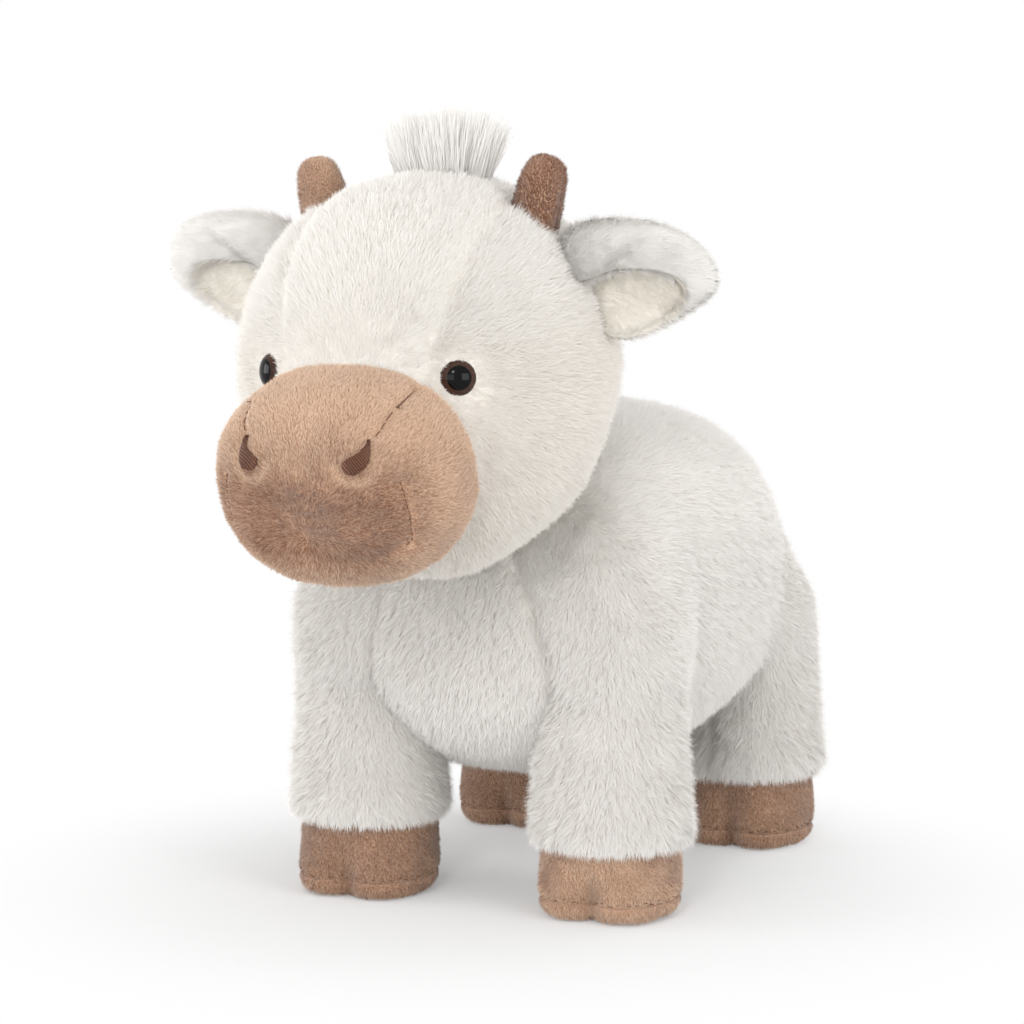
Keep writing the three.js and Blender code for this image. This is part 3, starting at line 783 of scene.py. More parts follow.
class Pile:
    """The lay of the pile on one skin: its combing, how long, upright and dense it is, and how far
    painted shade darkens it.
    """

    def __init__(self, skin, comb):
        """Comb is one direction, or one for each of the skin's points."""
        self.skin = skin
        self.points, self.normals = corners(skin)
        self.comb = along_skin(np.asarray(comb, float), self.normals)
        self.length = np.ones(len(self.points))
        self.stand = np.ones(len(self.points))
        self.cover = np.ones(len(self.points))
        self.shade = np.zeros(len(self.points))
        self.face = np.zeros((len(self.points), 3))

    def outward(self, axis):
        """How far the skin faces away from an upright axis, times its distance from it."""
        return ((self.points[:, :2] - axis) * self.normals[:, :2]).sum(1)

    def grow(self, name, body, slot, values, only=None, bends=STRAND_BENDS, nodes=()):
        """Makes the pile over the part of the skin where only is true, as a piece of its own."""
        bed = linked(name, self.skin.data.copy())
        cover = self.cover if only is None else self.cover * only
        layers = {
            "comb": self.comb, "pile": self.length, "stand": self.stand, "shade": self.shade,
            "face": self.face, "cover": cover,
        }
        for layer, amounts in layers.items():
            write_attribute(bed, layer, amounts)
        bare = [cover[list(face.vertices)].max() <= 0 for face in bed.data.polygons]
        form = bmesh.new()
        form.from_mesh(bed.data)
        gone = [face for face, empty in zip(form.faces, bare) if empty]
        bmesh.ops.delete(form, geom=gone, context="FACES")
        form.to_mesh(bed.data)
        form.free()
        strand = strand_mesh(bends, values["Length"] / values["Width"])
        run_tree(bed, shop.pile_nodes, {"Strand": strand, **values})
        bpy.data.objects.remove(strand)
        if not bed.data.polygons:
            raise RuntimeError(f"No pile grew for {name}")
        for layer in ("tone", "across", "along", *layers):
            if layer in bed.data.attributes:
                bed.data.attributes.remove(bed.data.attributes[layer])
        placed(bed, body, nodes)


def sewn(name, lines, radius, material):
    """Thread along lines of layout points, each a run of its own."""
    points, edges = [], []
    for line in lines:
        start = len(points)
        points.extend(line)
        edges.extend((start + i, start + i + 1) for i in range(len(line) - 1))
    obj = made(name, points, [], edges=edges)
    run_tree(obj, shop.thread_nodes, {"Radius": radius * MM, "Material": material})
    return obj


def placed(obj, body, nodes=()):
    """Says which body a piece rides, and hides the solids it stands for."""
    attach(obj, body)
    if nodes:
        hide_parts(*nodes)


# What the sidebar lets a user change


def size(name, description, default):
    return FloatProperty(name=name, description=description, default=default, unit="LENGTH")


def tint(name, description, *rgb):
    return FloatVectorProperty(
        name=name, description=description, subtype="COLOR", size=4, default=colour(*rgb)
    )


class PlushPile(bpy.types.PropertyGroup):
    """Sizes of the pile."""

    long_length: size("Long pile", "Length of the white pile", 0.0055)
    long_width: size("Strand width", "Width of a white strand", 0.00038)
    long_density: FloatProperty(
        name="Long density", description="White strands to a square metre", default=5.7e6
    )
    short_length: size("Short pile", "Length of the tan pile", 0.0021)
    short_width: size("Short width", "Width of a tan strand", 0.0005)
    short_density: FloatProperty(
        name="Short density", description="Tan strands to a square metre", default=4.5e6
    )
    seed: IntProperty(name="Seed", description="Start of the random lay of the pile", default=4)


class PlushColours(bpy.types.PropertyGroup):
    """Colours of the fabrics, threads and eyes."""

    white: tint("White", "White pile", 250, 248, 245)
    white_root: tint("White root", "Root of the white pile", 246, 241, 232)
    tan: tint("Tan", "Tan pile", 230, 200, 173)
    tan_root: tint("Tan root", "Root of the tan pile", 192, 151, 121)
    lining: tint("Lining", "Ear lining", 253, 249, 241)
    thread: tint("Thread", "Nostril thread", 134, 82, 54)
    eye_rim: tint("Eye rim", "Rim of the eye", 76, 54, 45)


class PlushCow(bpy.types.PropertyGroup):
    """All settings of the cow."""

    pile: PointerProperty(type=PlushPile)
    colours: PointerProperty(type=PlushColours)
    key_strength: FloatProperty(name="Key light", description="Power of the lamps", default=21.6)
    sky_strength: FloatProperty(name="Sky", description="Strength of the even light", default=0.785)


class Workshop:
    """What the operators share: finishes, node trees, and skins that others fit to."""

    def __init__(self):
        self.skins = {}
        self.pile_nodes = None

    def ready(self, context):
        """Makes the finishes and node trees for the first operator that needs them."""
        if self.pile_nodes is None:
            self.start(plush(context))

    def start(self, settings):
        self.pile = settings.pile
        names = PlushColours.__annotations__
        white, white_root, tan, tan_root, lining, thread, eye_rim = (
            tuple(getattr(settings.colours, name)) for name in names
        )
        self.white_skin = backing_finish("white_backing", white, white_root)
        # The third colour of each pile is what its strands run to by their tone: partly at random,
        # partly by painted shade.
        self.white_fur = pile_finish("white_pile", white_root, white, colour(240, 234, 225), 0.15)
        self.fine_fur = pile_finish("fine_white_pile", white, white, white, 0.3)
        self.tan_skin = backing_finish("tan_backing", tan_root, colour(206, 166, 137))
        self.tan_fur = pile_finish("tan_pile", tan_root, tan, colour(130, 78, 46), 0.6)
        self.lining_skin = backing_finish("lining_backing", lining, colour(236, 226, 208))
        self.lining_fur = pile_finish(
            "lining_pile", colour(249, 243, 232), lining, colour(247, 240, 227), 0.3
        )
        self.dark_thread = thread_finish("dark_thread", thread, colour(72, 38, 24))
        self.tan_thread = thread_finish("tan_thread", colour(132, 90, 64), colour(112, 74, 52))
        self.eye = eye_finish(colour(8, 7, 8), eye_rim)
        self.plastic = moulded_finish("washer_plastic", colour(233, 230, 223))
        self.pile_nodes = pile_tree()
        self.thread_nodes = thread_tree()

    def values(self, kind, fur, piece, number, changes):
        """A pile's values for its node tree."""
        keys = ("Density", "Length", "Width")
        sizes = {key: getattr(self.pile, f"{kind}_{key.lower()}") for key in keys}
        seed = self.pile.seed + SEEDS[piece] + number
        return {**sizes, **LAYS[kind], "Seed": seed, "Material": fur, **changes}

    def long_pile(self, piece, number=0, **changes):
        return self.values("long", self.white_fur, piece, number, changes)

    def short_pile(self, piece, number=0, **changes):
        return self.values("short", self.tan_fur, piece, number, changes)


shop = Workshop()


def skin_of(name):
    """A skin that its own operator has made. Without it, another can't finish."""
    if name not in shop.skins:
        raise RuntimeError(f"The {name} has to be made first")
    return shop.skins[name]


def plush(context):
    return context.scene.plush_cow


def parted(comb, points, half, width, strength):
    """Lays the pile away from the seams half a panel's width to each side, by the strength."""
    gap = np.abs(points[:, 0]) - half
    comb[:, 0] += np.sign(gap) * np.sign(points[:, 0]) * bell(gap, width) * strength
    return comb


def leg_place(name):
    """A leg's axis in the layout, and the height of its hip."""
    return LEG_AXES[name] - [0, LAYOUT_SHIFT], HIP_HEIGHTS[name.split("_")[0]]


def chest_half(height):
    """Half the chest panel's width at a height."""
    return np.interp(height, [0, 84.5, 106, 129, 136, 167.5], [28, 38.5, 35.5, 29, 25, 12])


def rump_dropped(unit):
    """The torso's ball, with a rump that falls away and flanks that rise a little."""
    rear = np.maximum(unit[:, 1], 0)
    unit[:, 2] *= np.where(unit[:, 2] > 0, 1 - RUMP_DROP * rear * rear, 1)
    wide = stepped(np.abs(unit[:, 0]), 0.35, 0.95)
    unit[:, 2] *= 1 - FLANK_RISE * wide * (unit[:, 2] < 0)
    return unit


def shoulder_forms(name, sink):
    """A rounded shoulder over a leg, and the filling that joins it to the torso."""
    axis, hip = leg_place(name)
    if axis[1] < 0:
        wide = LEG_TOP_RADIUS - sink + 2.6
        above = [(wide, 8), (wide * 0.86, 24), (wide * 0.5, 38), (0, 44)]
        fill, halves = [axis[0] * 0.88, axis[1] * 0.9, hip + 16], [31, 36, 46]
    else:
        wide = LEG_TOP_RADIUS - sink + 1.0
        above = [(wide - 0.4, 1), (wide * 0.88, 12), (wide * 0.66, 24), (wide * 0.34, 36), (0, 42)]
        fill, halves = [axis[0] * 0.82, axis[1] * 0.86, hip + 10], [27, 37, 47]
    below = [(0, -24), (wide - 8, -24), (wide - 2.5, -20), (wide, -13)]
    return [
        turned_form([*axis, hip], softened(below + above, 3), 40),
        plump_form(fill, halves, 2.1, 24, 36),
    ]


class PLUSH_OT_torso(bpy.types.Operator):
    """Sews the torso's cover, with a seat for the head and rounded shoulders over the legs"""

    bl_idname = "plush.torso"
    bl_label = "Torso"

    def execute(self, context):
        shop.ready(context)
        sink = PILE_SINK + SWELL
        forms = [plump_form(TORSO_CENTRE, TORSO_HALVES - sink, TORSO_SHARE, 48, 72, rump_dropped)]
        for name in LEGS:
            forms += shoulder_forms(name, sink)
        skin = fused("torso_cover", forms, voxel=4.5, rounding=14)
        stuffed(skin, cap=1.5)
        refined(skin)
        points, normals = corners(skin)
        x, y, z = points.T
        seat = np.linalg.norm(HEAD_HALVES[1:]) / math.sqrt(2) + SEAT_GAP
        out = points - HEAD_CENTRE
        far = lengths(out)
        pushed = HEAD_CENTRE + out * (np.maximum(far, seat) / far)[:, None]
        seam = np.abs(np.abs(x) - chest_half(z))
        over = stepped(z, 95, 125) * stepped(y, -80, -55)
        ahead = stepped(-y, -60, -30) * (1 - over)
        spine = bell(x, SPINE_SEAM_WIDTH) * over
        ahead *= np.where(x > 0, 1.0, RIGHT_CHEST_SEAM)
        groove = CHEST_SEAM_DEPTH * bell(seam, CHEST_SEAM_WIDTH) * ahead + SPINE_SEAM_DEPTH * spine
        pushed -= normals * groove[:, None]
        reshape(skin, pushed)
        shop.skins["torso"] = skin
        dyed(skin, shop.white_skin)
        comb = np.tile([0, 0.45, -1.0], (len(points), 1))
        comb[:, 1] += 0.9 * stepped(z, 125, 180)
        lay = Pile(skin, parted(comb, points, chest_half(z), 5, 1.2 * ahead))
        inside_head = inside_plump(lay.points, HEAD_CENTRE, HEAD_HALVES, HEAD_SHARE)
        lay.cover *= stepped(inside_head, 0.97, 1.0)
        lay.length *= 0.75 + 0.25 * stepped(inside_head, 1.0, 1.15)
        lay.stand *= 1 - 0.4 * stepped(z, 120, 165)
        lay.length *= 1 - 0.5 * bell(seam, PARTING_WIDTH) * ahead - 0.35 * spine
        for name in LEGS:
            axis, hip = leg_place(name)
            across = lengths(lay.points[:, :2] - axis)
            lay.cover[(across < LEG_TOP_RADIUS - 5) & (lay.points[:, 2] < hip - 14)] = 0
        x, y = lay.points[:, 0], lay.points[:, 1]
        front = (y < CHEST_PILE_BACK) & (np.abs(x) < CHEST_PILE_HALF)
        parts = {"front": front}
        for side, beside in (("left", x > 0), ("right", x <= 0)):
            parts[side + "_front"] = ~front & beside & (y < REAR_PILE_FRONT)
            parts[side + "_rear"] = ~front & beside & (y >= REAR_PILE_FRONT)
        for part, only in parts.items():
            lay.grow("torso_pile_" + part, "torso", WHITE, shop.long_pile("torso"), only)
        placed(
            skin, "torso",
            ["side_panel_left", "side_panel_right", "chest_belly_panel", "body_filling"],
        )
        return {"FINISHED"}


def leg_profile(hem, hip):
    """A leg cover's rows: up inside its hoof, out round its hem and over a dome at its hip."""
    top, cuff = LEG_TOP_RADIUS - PILE_SINK, LEG_CUFF_RADIUS - PILE_SINK
    dome = [(top * math.cos(a), hip + top * math.sin(a)) for a in np.linspace(0.25, 1.35, 5)]
    return [
        (0, HOOF_TOP + 1.2), (HOOF_TOP_RADIUS - 3, HOOF_TOP + 1.2),
        (HOOF_TOP_RADIUS + 0.6, HOOF_TOP - 0.5), (HOOF_TOP_RADIUS + 0.8, hem + 3),
        (cuff - 0.9, hem + 0.4), (cuff, hem + 2), (cuff, hem + 7),
        (LEG_WAIST_RADIUS - PILE_SINK, (hip + CUFF_HEIGHT) / 2), (top, hip - 8), *dome,
        (0, hip + top),
    ]


class PLUSH_OT_legs(bpy.types.Operator):
    """Sews the four leg covers, with a fluffy cuff over each hoof"""

    bl_idname = "plush.legs"
    bl_label = "Legs"

    def execute(self, context):
        shop.ready(context)
        tree = tree_of(skin_of("torso"))
        for number, name in enumerate(LEGS):
            body = "leg_" + name
            axis, hip = leg_place(name)
            hem = CUFF_HEIGHT + 3 + HEM_RISES[name]
            points, faces = turned_form([*axis, 0], softened(leg_profile(hem, hip), 5), 72)
            turn = np.arctan2(points[:, 0] - axis[0], axis[1] - points[:, 1])
            seam = np.abs(turn + np.sign(axis[0]) * LEG_SEAM_TURN) * LEG_TOP_RADIUS
            groove = LEG_SEAM_DEPTHS[name.split("_")[0]] * bell(seam, LEG_SEAM_WIDTH)
            across = np.hypot(*(points[:, :2] - axis).T)
            groove *= (points[:, 2] > CUFF_HEIGHT + 2) * stepped(across, 15, 24)
            points[:, :2] -= (points[:, :2] - axis) * (groove / LEG_TOP_RADIUS)[:, None]
            skin = made("leg_cover_fur_" + name, points, faces, shop.white_skin)
            lay = Pile(skin, [0.0, 0.1, -1.0])
            height = lay.points[:, 2]
            at_hem = 1 - stepped(height, hem + 2, hem + 12)
            lay.cover = ((lay.outward(axis) > 0) & (height > CUFF_HEIGHT - 1)).astype(float)
            lay.cover[depth_in(tree, lay.points) > 3.5] = 0
            lay.cover *= 1 + 0.9 * at_hem
            lay.stand *= 1 - 0.3 * at_hem
            lay.length *= 1 + 0.2 * at_hem
            if axis[1] > 0:
                lay.stand *= 1 - 0.45 * stepped(height, hip - 22, hip)
            lay.grow("leg_pile_" + name, body, WHITE, shop.long_pile("leg", number))
            placed(skin, body, ["leg_cover_" + name, "leg_filling_" + name])
        return {"FINISHED"}


def hoof_toes(points):
    """Two toes with a cleft between them at a hoof's front, and puckers at its sole's seam."""
    radius = np.hypot(points[:, 0], points[:, 1])
    angle = np.arctan2(points[:, 0], -points[:, 1])
    fade = 1 - stepped(np.clip(points[:, 2], 0, None), 5, 33)
    cleft = bell(angle, CLEFT_WIDTH) * CLEFT_DEPTH * fade
    toe = bell(np.abs(angle) - TOE_TURN, TOE_WIDTH) * TOE_RISE * fade
    edge = stepped(radius, 12, 24)
    above = points[:, 2] - SOLE_SEAM - 1.0
    seam = bell(above, SOLE_SEAM_WIDTH) * SOLE_SEAM_DEPTH * edge
    pucker = bell(above, PUCKER_WIDTH) * PUCKER_DEPTH
    pucker = pucker * np.sin(angle * SOLE_PUCKERS) * edge
    factor = 1 + ((toe - cleft) * edge - seam + pucker) / np.maximum(radius, 1)
    points[:, :2] *= factor[:, None]
    return points


def hoof_form(axis, low, high):
    """A hoof's cup, or its sole, from one height to another."""
    foot = HOOF_RADIUS - SOLE_FLAT_RADIUS
    outline = [
        (SOLE_FLAT_RADIUS + (foot - NAP) * math.cos(a), foot + (foot - NAP) * math.sin(a))
        for a in np.linspace(-math.pi / 2, -0.12, 7)
    ]
    outline += [
        (HOOF_RADIUS - NAP, HOOF_BULGE), (HOOF_RADIUS - NAP - 0.5, HOOF_BULGE + 8),
        (HOOF_TOP_RADIUS - NAP, HOOF_TOP),
    ]
    outline = np.array(outline)
    rows = [(np.interp(h, outline[:, 1], outline[:, 0]), h) for h in np.linspace(low, high, 26)]
    flat = [(r * rows[0][0], low) for r in (0, 0.25, 0.5, 0.75, 0.92)]
    lid = [(r * rows[-1][0], high) for r in (0.92, 0.6, 0.3, 0)]
    return turned_form([*axis, 0], flat + rows + lid, 144, hoof_toes)


class PLUSH_OT_hooves(bpy.types.Operator):
    """Sews the four hooves and their soles, with short tan pile and a stitched seam"""

    bl_idname = "plush.hooves"
    bl_label = "Hooves"

    def execute(self, context):
        shop.ready(context)
        for number, name in enumerate(LEGS):
            body = "leg_" + name
            axis, _ = leg_place(name)
            cup_form = hoof_form(axis, SOLE_SEAM + 0.3, HOOF_TOP)
            cup = made("hoof_skin_" + name, *cup_form, shop.tan_skin)
            sole = made("sole_skin_" + name, *hoof_form(axis, 0.9, SOLE_SEAM), shop.tan_skin)
            for skin, node in ((cup, "hoof_cover"), (sole, "sole")):
                lay = Pile(skin, [0.25, 0.0, -1.0])
                height = lay.points[:, 2]
                upright = np.abs(lay.normals[:, 2]) < 0.93
                lay.cover = ((lay.outward(axis) > 4) & upright).astype(float)
                lay.length *= 1 - 0.5 * bell(height - SOLE_SEAM - 0.6, 1.2)
                # Painted shade: the hoof's pile is darkened by its share.
                lay.shade[:] = HOOF_PAINTED_SHADES[name]
                if skin is cup:
                    lay.cover[height > HOOF_TOP - 4] = 0
                values = shop.short_pile(node, number, Length=0.0017, Lift=0.85)
                lay.grow(f"{node}_pile_{name}", body, TAN, values)
                placed(skin, body, [f"{node}_{name}"])
            lines = hoof_stitches(cup, axis)
            stitches = sewn("hoof_stitches_" + name, lines, HOOF_THREAD_RADIUS, shop.tan_thread)
            placed(stitches, body)
        return {"FINISHED"}


def hoof_stitches(cup, axis):
    """Short slanted stitches along the seam above the sole."""
    tree = tree_of(cup)
    lines = []
    for angle in np.linspace(-math.pi, math.pi, 52, endpoint=False):
        height = SOLE_SEAM + 1.5 + 0.5 * math.sin(angle * SOLE_PUCKERS)
        start = frame_points([axis[0], axis[1], height])
        line = []
        for share in (0, 0.5, 1):
            turn = angle + share * 0.055
            out = Vector((math.sin(turn), -math.cos(turn), 0))
            place, _, _, _ = tree.ray_cast(Vector(start) + out * 0.06, -out)
            if place:
                line.append(layout_points(place) + np.array(out) * 0.7)
        if len(line) == 3:
            lines.append(line)
    return lines


def forehead_half(height):
    """Half the forehead panel's width at a height."""
    return np.interp(height, [180.5, 225, 246, 266, 296.5], [26, 29, 33.4, 35.5, 36])


def eye_frame(side):
    """The eye's seat on the head, and its outward axis."""
    outward = np.array([side * 38, -56, 4.5])
    skin = outward / np.linalg.norm(outward / HEAD_HALVES)
    normal = skin / HEAD_HALVES**2
    normal /= np.linalg.norm(normal)
    return skin + HEAD_CENTRE - normal * EYE_SINK, normal


def horn_base(side):
    return np.array([side * 43, HEAD_CENTRE[1], HEAD_CENTRE[2] + 60])


class PLUSH_OT_head(bpy.types.Operator):
    """Sews the head's cover with its snout, eye hollows and forehead seams"""

    bl_idname = "plush.head"
    bl_label = "Head"

    def execute(self, context):
        shop.ready(context)
        sink = PILE_SINK + SWELL
        halves = HEAD_HALVES - [sink, sink, sink - CROWN_RISE]
        ball = plump_form(HEAD_CENTRE, halves, HEAD_SHARE, 44, 64)
        points, faces = plump_form(0, SNOUT_HALVES - sink - 0.5, 2, 36, 48)
        skin = fused("head_cover", [ball, (from_snout(points), faces)], voxel=4.0, rounding=5)
        stuffed(skin, cap=1.0)
        refined(skin)
        points, normals = corners(skin)
        x, y, z = points.T
        seam = np.abs(np.abs(x) - forehead_half(z))
        high = stepped(z, 195, 215) * stepped(-y, 100, 135)
        depth = BROW_SEAM_DEPTH * bell(seam, BROW_SEAM_WIDTH) * high
        depth *= np.where(x > 0, 1.0, RIGHT_BROW_SEAM)
        for _, side in SIDES:
            centre, _ = eye_frame(side)
            depth += EYE_HOLLOW_DEPTH * bell(lengths(points - centre), EYE_HOLLOW_WIDTH)
        way = directions(points - HEAD_CENTRE)
        jowl = np.abs(way[:, 0]) * 0.70 + way[:, 1] * 0.32 - way[:, 2] * 0.64
        depth += 4.0 * stepped(jowl, 0.72, 1.0) + 2.2 * stepped(-way[:, 2], 0.55, 0.95)
        reshape(skin, points - normals * depth[:, None])
        shop.skins["head"] = skin
        dyed(skin, shop.white_skin)
        lay = head_lay(skin, points, way, seam, high)
        for number, (name, side) in enumerate(SIDES):
            one = lay.points[:, 0] * side >= (0 if side > 0 else 1e-6)
            rear = lay.points[:, 1] > HEAD_CENTRE[1]
            values = shop.long_pile("head", number)
            for part, only in (("face", one & ~rear), ("nape", one & rear)):
                lay.grow(f"head_pile_{part}_{name}", "head", WHITE, values, only)
        placed(
            skin, "head",
            ["forehead_panel", "cheek_panel_left", "cheek_panel_right", "head_filling"],
        )
        return {"FINISHED"}


def head_lay(skin, points, way, seam, high):
    """The lay of the head's pile, combed away from the nose and parted at the forehead's seams.
    The points are the skin's before its hollows were made. Their way is that from the head's
    centre, their seam the distance from a forehead seam, and high is 1 on the brow."""
    back = stepped(points[:, 1], -130, -90)[:, None]
    comb = directions(points - (SNOUT_CENTRE + [0, -25, 0])) * (1 - 0.5 * back)
    comb += np.array([0, 0.2, -0.35]) + back * np.array([0, 0.2, -0.6])
    parting = high * stepped(points[:, 2], 216, 240)
    lay = Pile(skin, parted(comb, points, forehead_half(points[:, 2]), 4, 0.65 * parting))
    # Painted shade: the head's pile is a little darker all over, and darker still towards its sides
    # and underside.
    lay.shade = 0.3 + 0.5 * stepped(np.abs(way[:, 0]) - way[:, 2], 0.1, 0.9)
    snout = to_snout(lay.points)
    lay.cover *= stepped(snout[:, 1], -1.6, 0.4)
    inside_torso = depth_in(tree_of(skin_of("torso")), lay.points)
    lay.cover *= 1 - stepped(inside_torso, 0.5, 2.5)
    near_nose = 1 - stepped(lengths(snout / [46, 60, 39]), 1.0, 1.5)
    lay.length *= (1 - 0.35 * near_nose) * (1 - 0.5 * bell(seam, PARTING_WIDTH) * parting)
    forehead = (np.abs(points[:, 0]) < forehead_half(points[:, 2])) * high
    lay.length *= 1 - 0.2 * forehead
    lay.stand *= 1 - 0.3 * forehead
    for _, side in SIDES:
        centre, out = eye_frame(side)
        offset = lay.points - centre
        across = lengths(offset - (offset @ out)[:, None] * out)
        facing = (offset @ out) > -12
        lay.cover[facing & (across < EYE_RADIUS - 0.6)] = 0
        lay.length *= 1 - 0.6 * (1 - stepped(across, 7, 16)) * facing
        lay.length = np.maximum(lay.length, 0.4)
        horn = lengths((lay.points - horn_base(side))[:, :2])
        lay.cover[(horn < 7.5) & (lay.points[:, 2] > 240)] = 0
    return lay


# Lines on the muzzle's left half, as (outward, up)
DART = [(31.5, 34.5), (29.5, 32.3), (28.1, 29.8), (26.6, 26.3), (24.8, 24.7)]
SIDE_SEAM = [(34.0, 9.6), (34.9, 5.1), (35.6, -3.4), (34.6, -12.7), (31.5, -15.6)]
CHIN_FOLD = [(31.5, -15.6), (21.3, -18.4), (8.7, -17.8), (0, -17.2)]
# Each line's groove, as its depth and width
MUZZLE_GROOVES = ((DART, 1.0, 1.5), (SIDE_SEAM, 1.8, 2.0), (CHIN_FOLD, 0.7, 2.6))
# The left nostril's outline, from its tip round
NOSTRIL = [
    (24.0, 24.9), (25.3, 21.2), (24.8, 17.4), (22.2, 14.9), (19.0, 14.4), (16.6, 16.2),
    (16.2, 18.6), (18.4, 20.0), (21.5, 21.6), (22.9, 23.3),
]
NOSTRIL_X = 20.3
# The nostril's pad in rows, as shares of its outline and how proud of the muzzle they stand
PAD_ROWS = ((1.0, 0.2), (0.97, 1.3), (0.8, 1.75), (0.5, 1.9), (0.25, 1.95))


def muzzle_tucked(unit):
    """The muzzle's ball, drawn in where it meets the head."""
    tuck = 1 - 0.25 * stepped(np.maximum(unit[:, 1], 0), 0.3, 0.9)
    unit[:, 0] *= tuck
    unit[:, 2] *= tuck
    return unit


def muzzle_form():
    """The muzzle's skin in the snout's own places, with its grooves and its nostrils' hollows."""
    points, faces = plump_form(
        [0, -MUZZLE_BASE, 0], MUZZLE_HALVES - 1.2, MUZZLE_SHARE, 110, 180, muzzle_tucked
    )
    flat = points[:, [0, 2]]
    mirrored = np.stack([np.abs(flat[:, 0]), flat[:, 1]], -1)
    depth = np.zeros(len(points))
    for line, deep, wide in MUZZLE_GROOVES:
        far, along = line_distance(mirrored, line)
        depth += bell(far, wide) * deep
        pucker = bell(far, 5) * 0.3 * (1 + 0.7 * np.sin(along * 45))
        depth += pucker * (line is not CHIN_FOLD)
    for _, side in SIDES:
        far = lengths((flat - [side * NOSTRIL_X, 18.6]) / [1.0, 1.25])
        depth += bell(far - 6.0, 2.2) * 1.0
    inward = directions(np.array([0, -MUZZLE_BASE + 12, 0]) - points)
    return points + inward * (depth * (points[:, 1] < -4))[:, None], faces


class PLUSH_OT_muzzle(bpy.types.Operator):
    """Sews the tan muzzle with its darts and chin seam"""

    bl_idname = "plush.muzzle"
    bl_label = "Muzzle"

    def execute(self, context):
        shop.ready(context)
        points, faces = muzzle_form()
        skin = made("muzzle_skin", from_snout(points), faces, shop.tan_skin)
        shop.skins["muzzle"] = skin
        local = to_snout(corners(skin)[0])
        lay = Pile(skin, turned_x(local - [0, -75, -12], SNOUT_TILT))
        lay.cover = (local[:, 1] < 0.8).astype(float)
        flat = np.stack([np.abs(local[:, 0]), local[:, 2]], -1)
        for line in (DART, SIDE_SEAM):
            far, _ = line_distance(flat, line)
            lay.length *= 1 - 0.65 * bell(far, 1.6)
        x, up = local[:, 0], local[:, 2]
        # Painted shade and highlight: the pile darkens from the top towards the lower front, and
        # lightens towards the muzzle's outline and under the chin.
        rim = stepped(np.hypot(x / MUZZLE_HALVES[0], up / MUZZLE_HALVES[2]), 0.62, 1.02)
        chin = 1 - stepped(up, -24, -14)
        low = 1 - stepped(up, 4, 34)
        lay.shade = 0.8 * low * (1 - 0.75 * rim) * (1 - 0.3 * chin)
        # Painted highlight: a lighter ring below each nostril.
        lip = lengths((flat - [NOSTRIL_X, 17.5]) / [1.0, 0.9])
        lay.shade *= 1 - 0.85 * bell(lip - 7.5, 1.8) * (flat[:, 1] < 18)
        for number, (name, only) in enumerate((("left", x > 0), ("right", x <= 0))):
            lay.grow("muzzle_pile_" + name, "head", TAN, shop.short_pile("muzzle", number), only)
        placed(skin, "head", ["muzzle_cover"])
        tree = tree_of(skin)
        lines = []
        for _, side in SIDES:
            for line, step in ((DART, 2.0), (SIDE_SEAM, 2.2)):
                lines += dashes(tree, [(side * x, z) for x, z in line], step)
        placed(sewn("muzzle_stitches", lines, DART_THREAD_RADIUS, shop.tan_thread), "head")
        return {"FINISHED"}


def on_muzzle(tree, x, z, proud):
    """The muzzle skin's point ahead of a flat place, a little proud of it."""
    start = frame_points(from_snout([[x, -90, z]]))[0]
    way = turned_x([[0, 1, 0]], SNOUT_TILT)[0]
    place, normal, _, _ = tree.ray_cast(Vector(start), Vector(way))
    if place is None:
        place, normal, _, _ = tree.find_nearest(Vector(frame_points(from_snout([[x, -20, z]]))[0]))
    return layout_points(place) + np.array(normal) * proud


def dashes(tree, line, step):
    """Running stitches along a flat line on the muzzle."""
    line = np.asarray(line, float)
    _, starts = reach(line)
    lines = []
    for low in np.arange(0, starts[-1] - step * 0.6, step):
        spots = np.linspace(low, low + step * 0.62, 3)
        xs, zs = (np.interp(spots, starts, line[:, k]) for k in (0, 1))
        lines.append([on_muzzle(tree, *place) for place in zip(xs, zs, (0.5, 0.75, 0.5))])
    return lines


class PLUSH_OT_nostrils(bpy.types.Operator):
    """Embroiders the nostrils in satin stitch"""

    bl_idname = "plush.nostrils"
    bl_label = "Nostrils"

    def execute(self, context):
        shop.ready(context)
        tree = tree_of(skin_of("muzzle"))
        knots = np.array(NOSTRIL)
        ring = np.array(curved(np.vstack([knots[-1], knots, knots[:2]]), 4))
        ring = ring.mean(axis=0) + (ring - ring.mean(axis=0)) * 0.88
        for name, side in SIDES:
            spots = ring * [side, 1]
            centre = np.mean(spots, axis=0)
            rows = [on_muzzle(tree, *centre, -0.6)]
            for share, proud in PAD_ROWS:
                ring_spots = centre + (spots - centre) * share
                rows += [on_muzzle(tree, x, z, proud) for x, z in ring_spots]
            rows.append(on_muzzle(tree, *centre, 2.0))
            faces = rows_closed(len(PAD_ROWS), len(spots))
            pad = made("nostril_pad_" + name, rows, faces, shop.dark_thread)
            placed(pad, "head", ["nostril_" + name])
            threads = satin_lines(tree, spots)
            satin = sewn("nostril_satin_" + name, threads, SATIN_RADIUS, shop.dark_thread)
            placed(satin, "head")
        return {"FINISHED"}


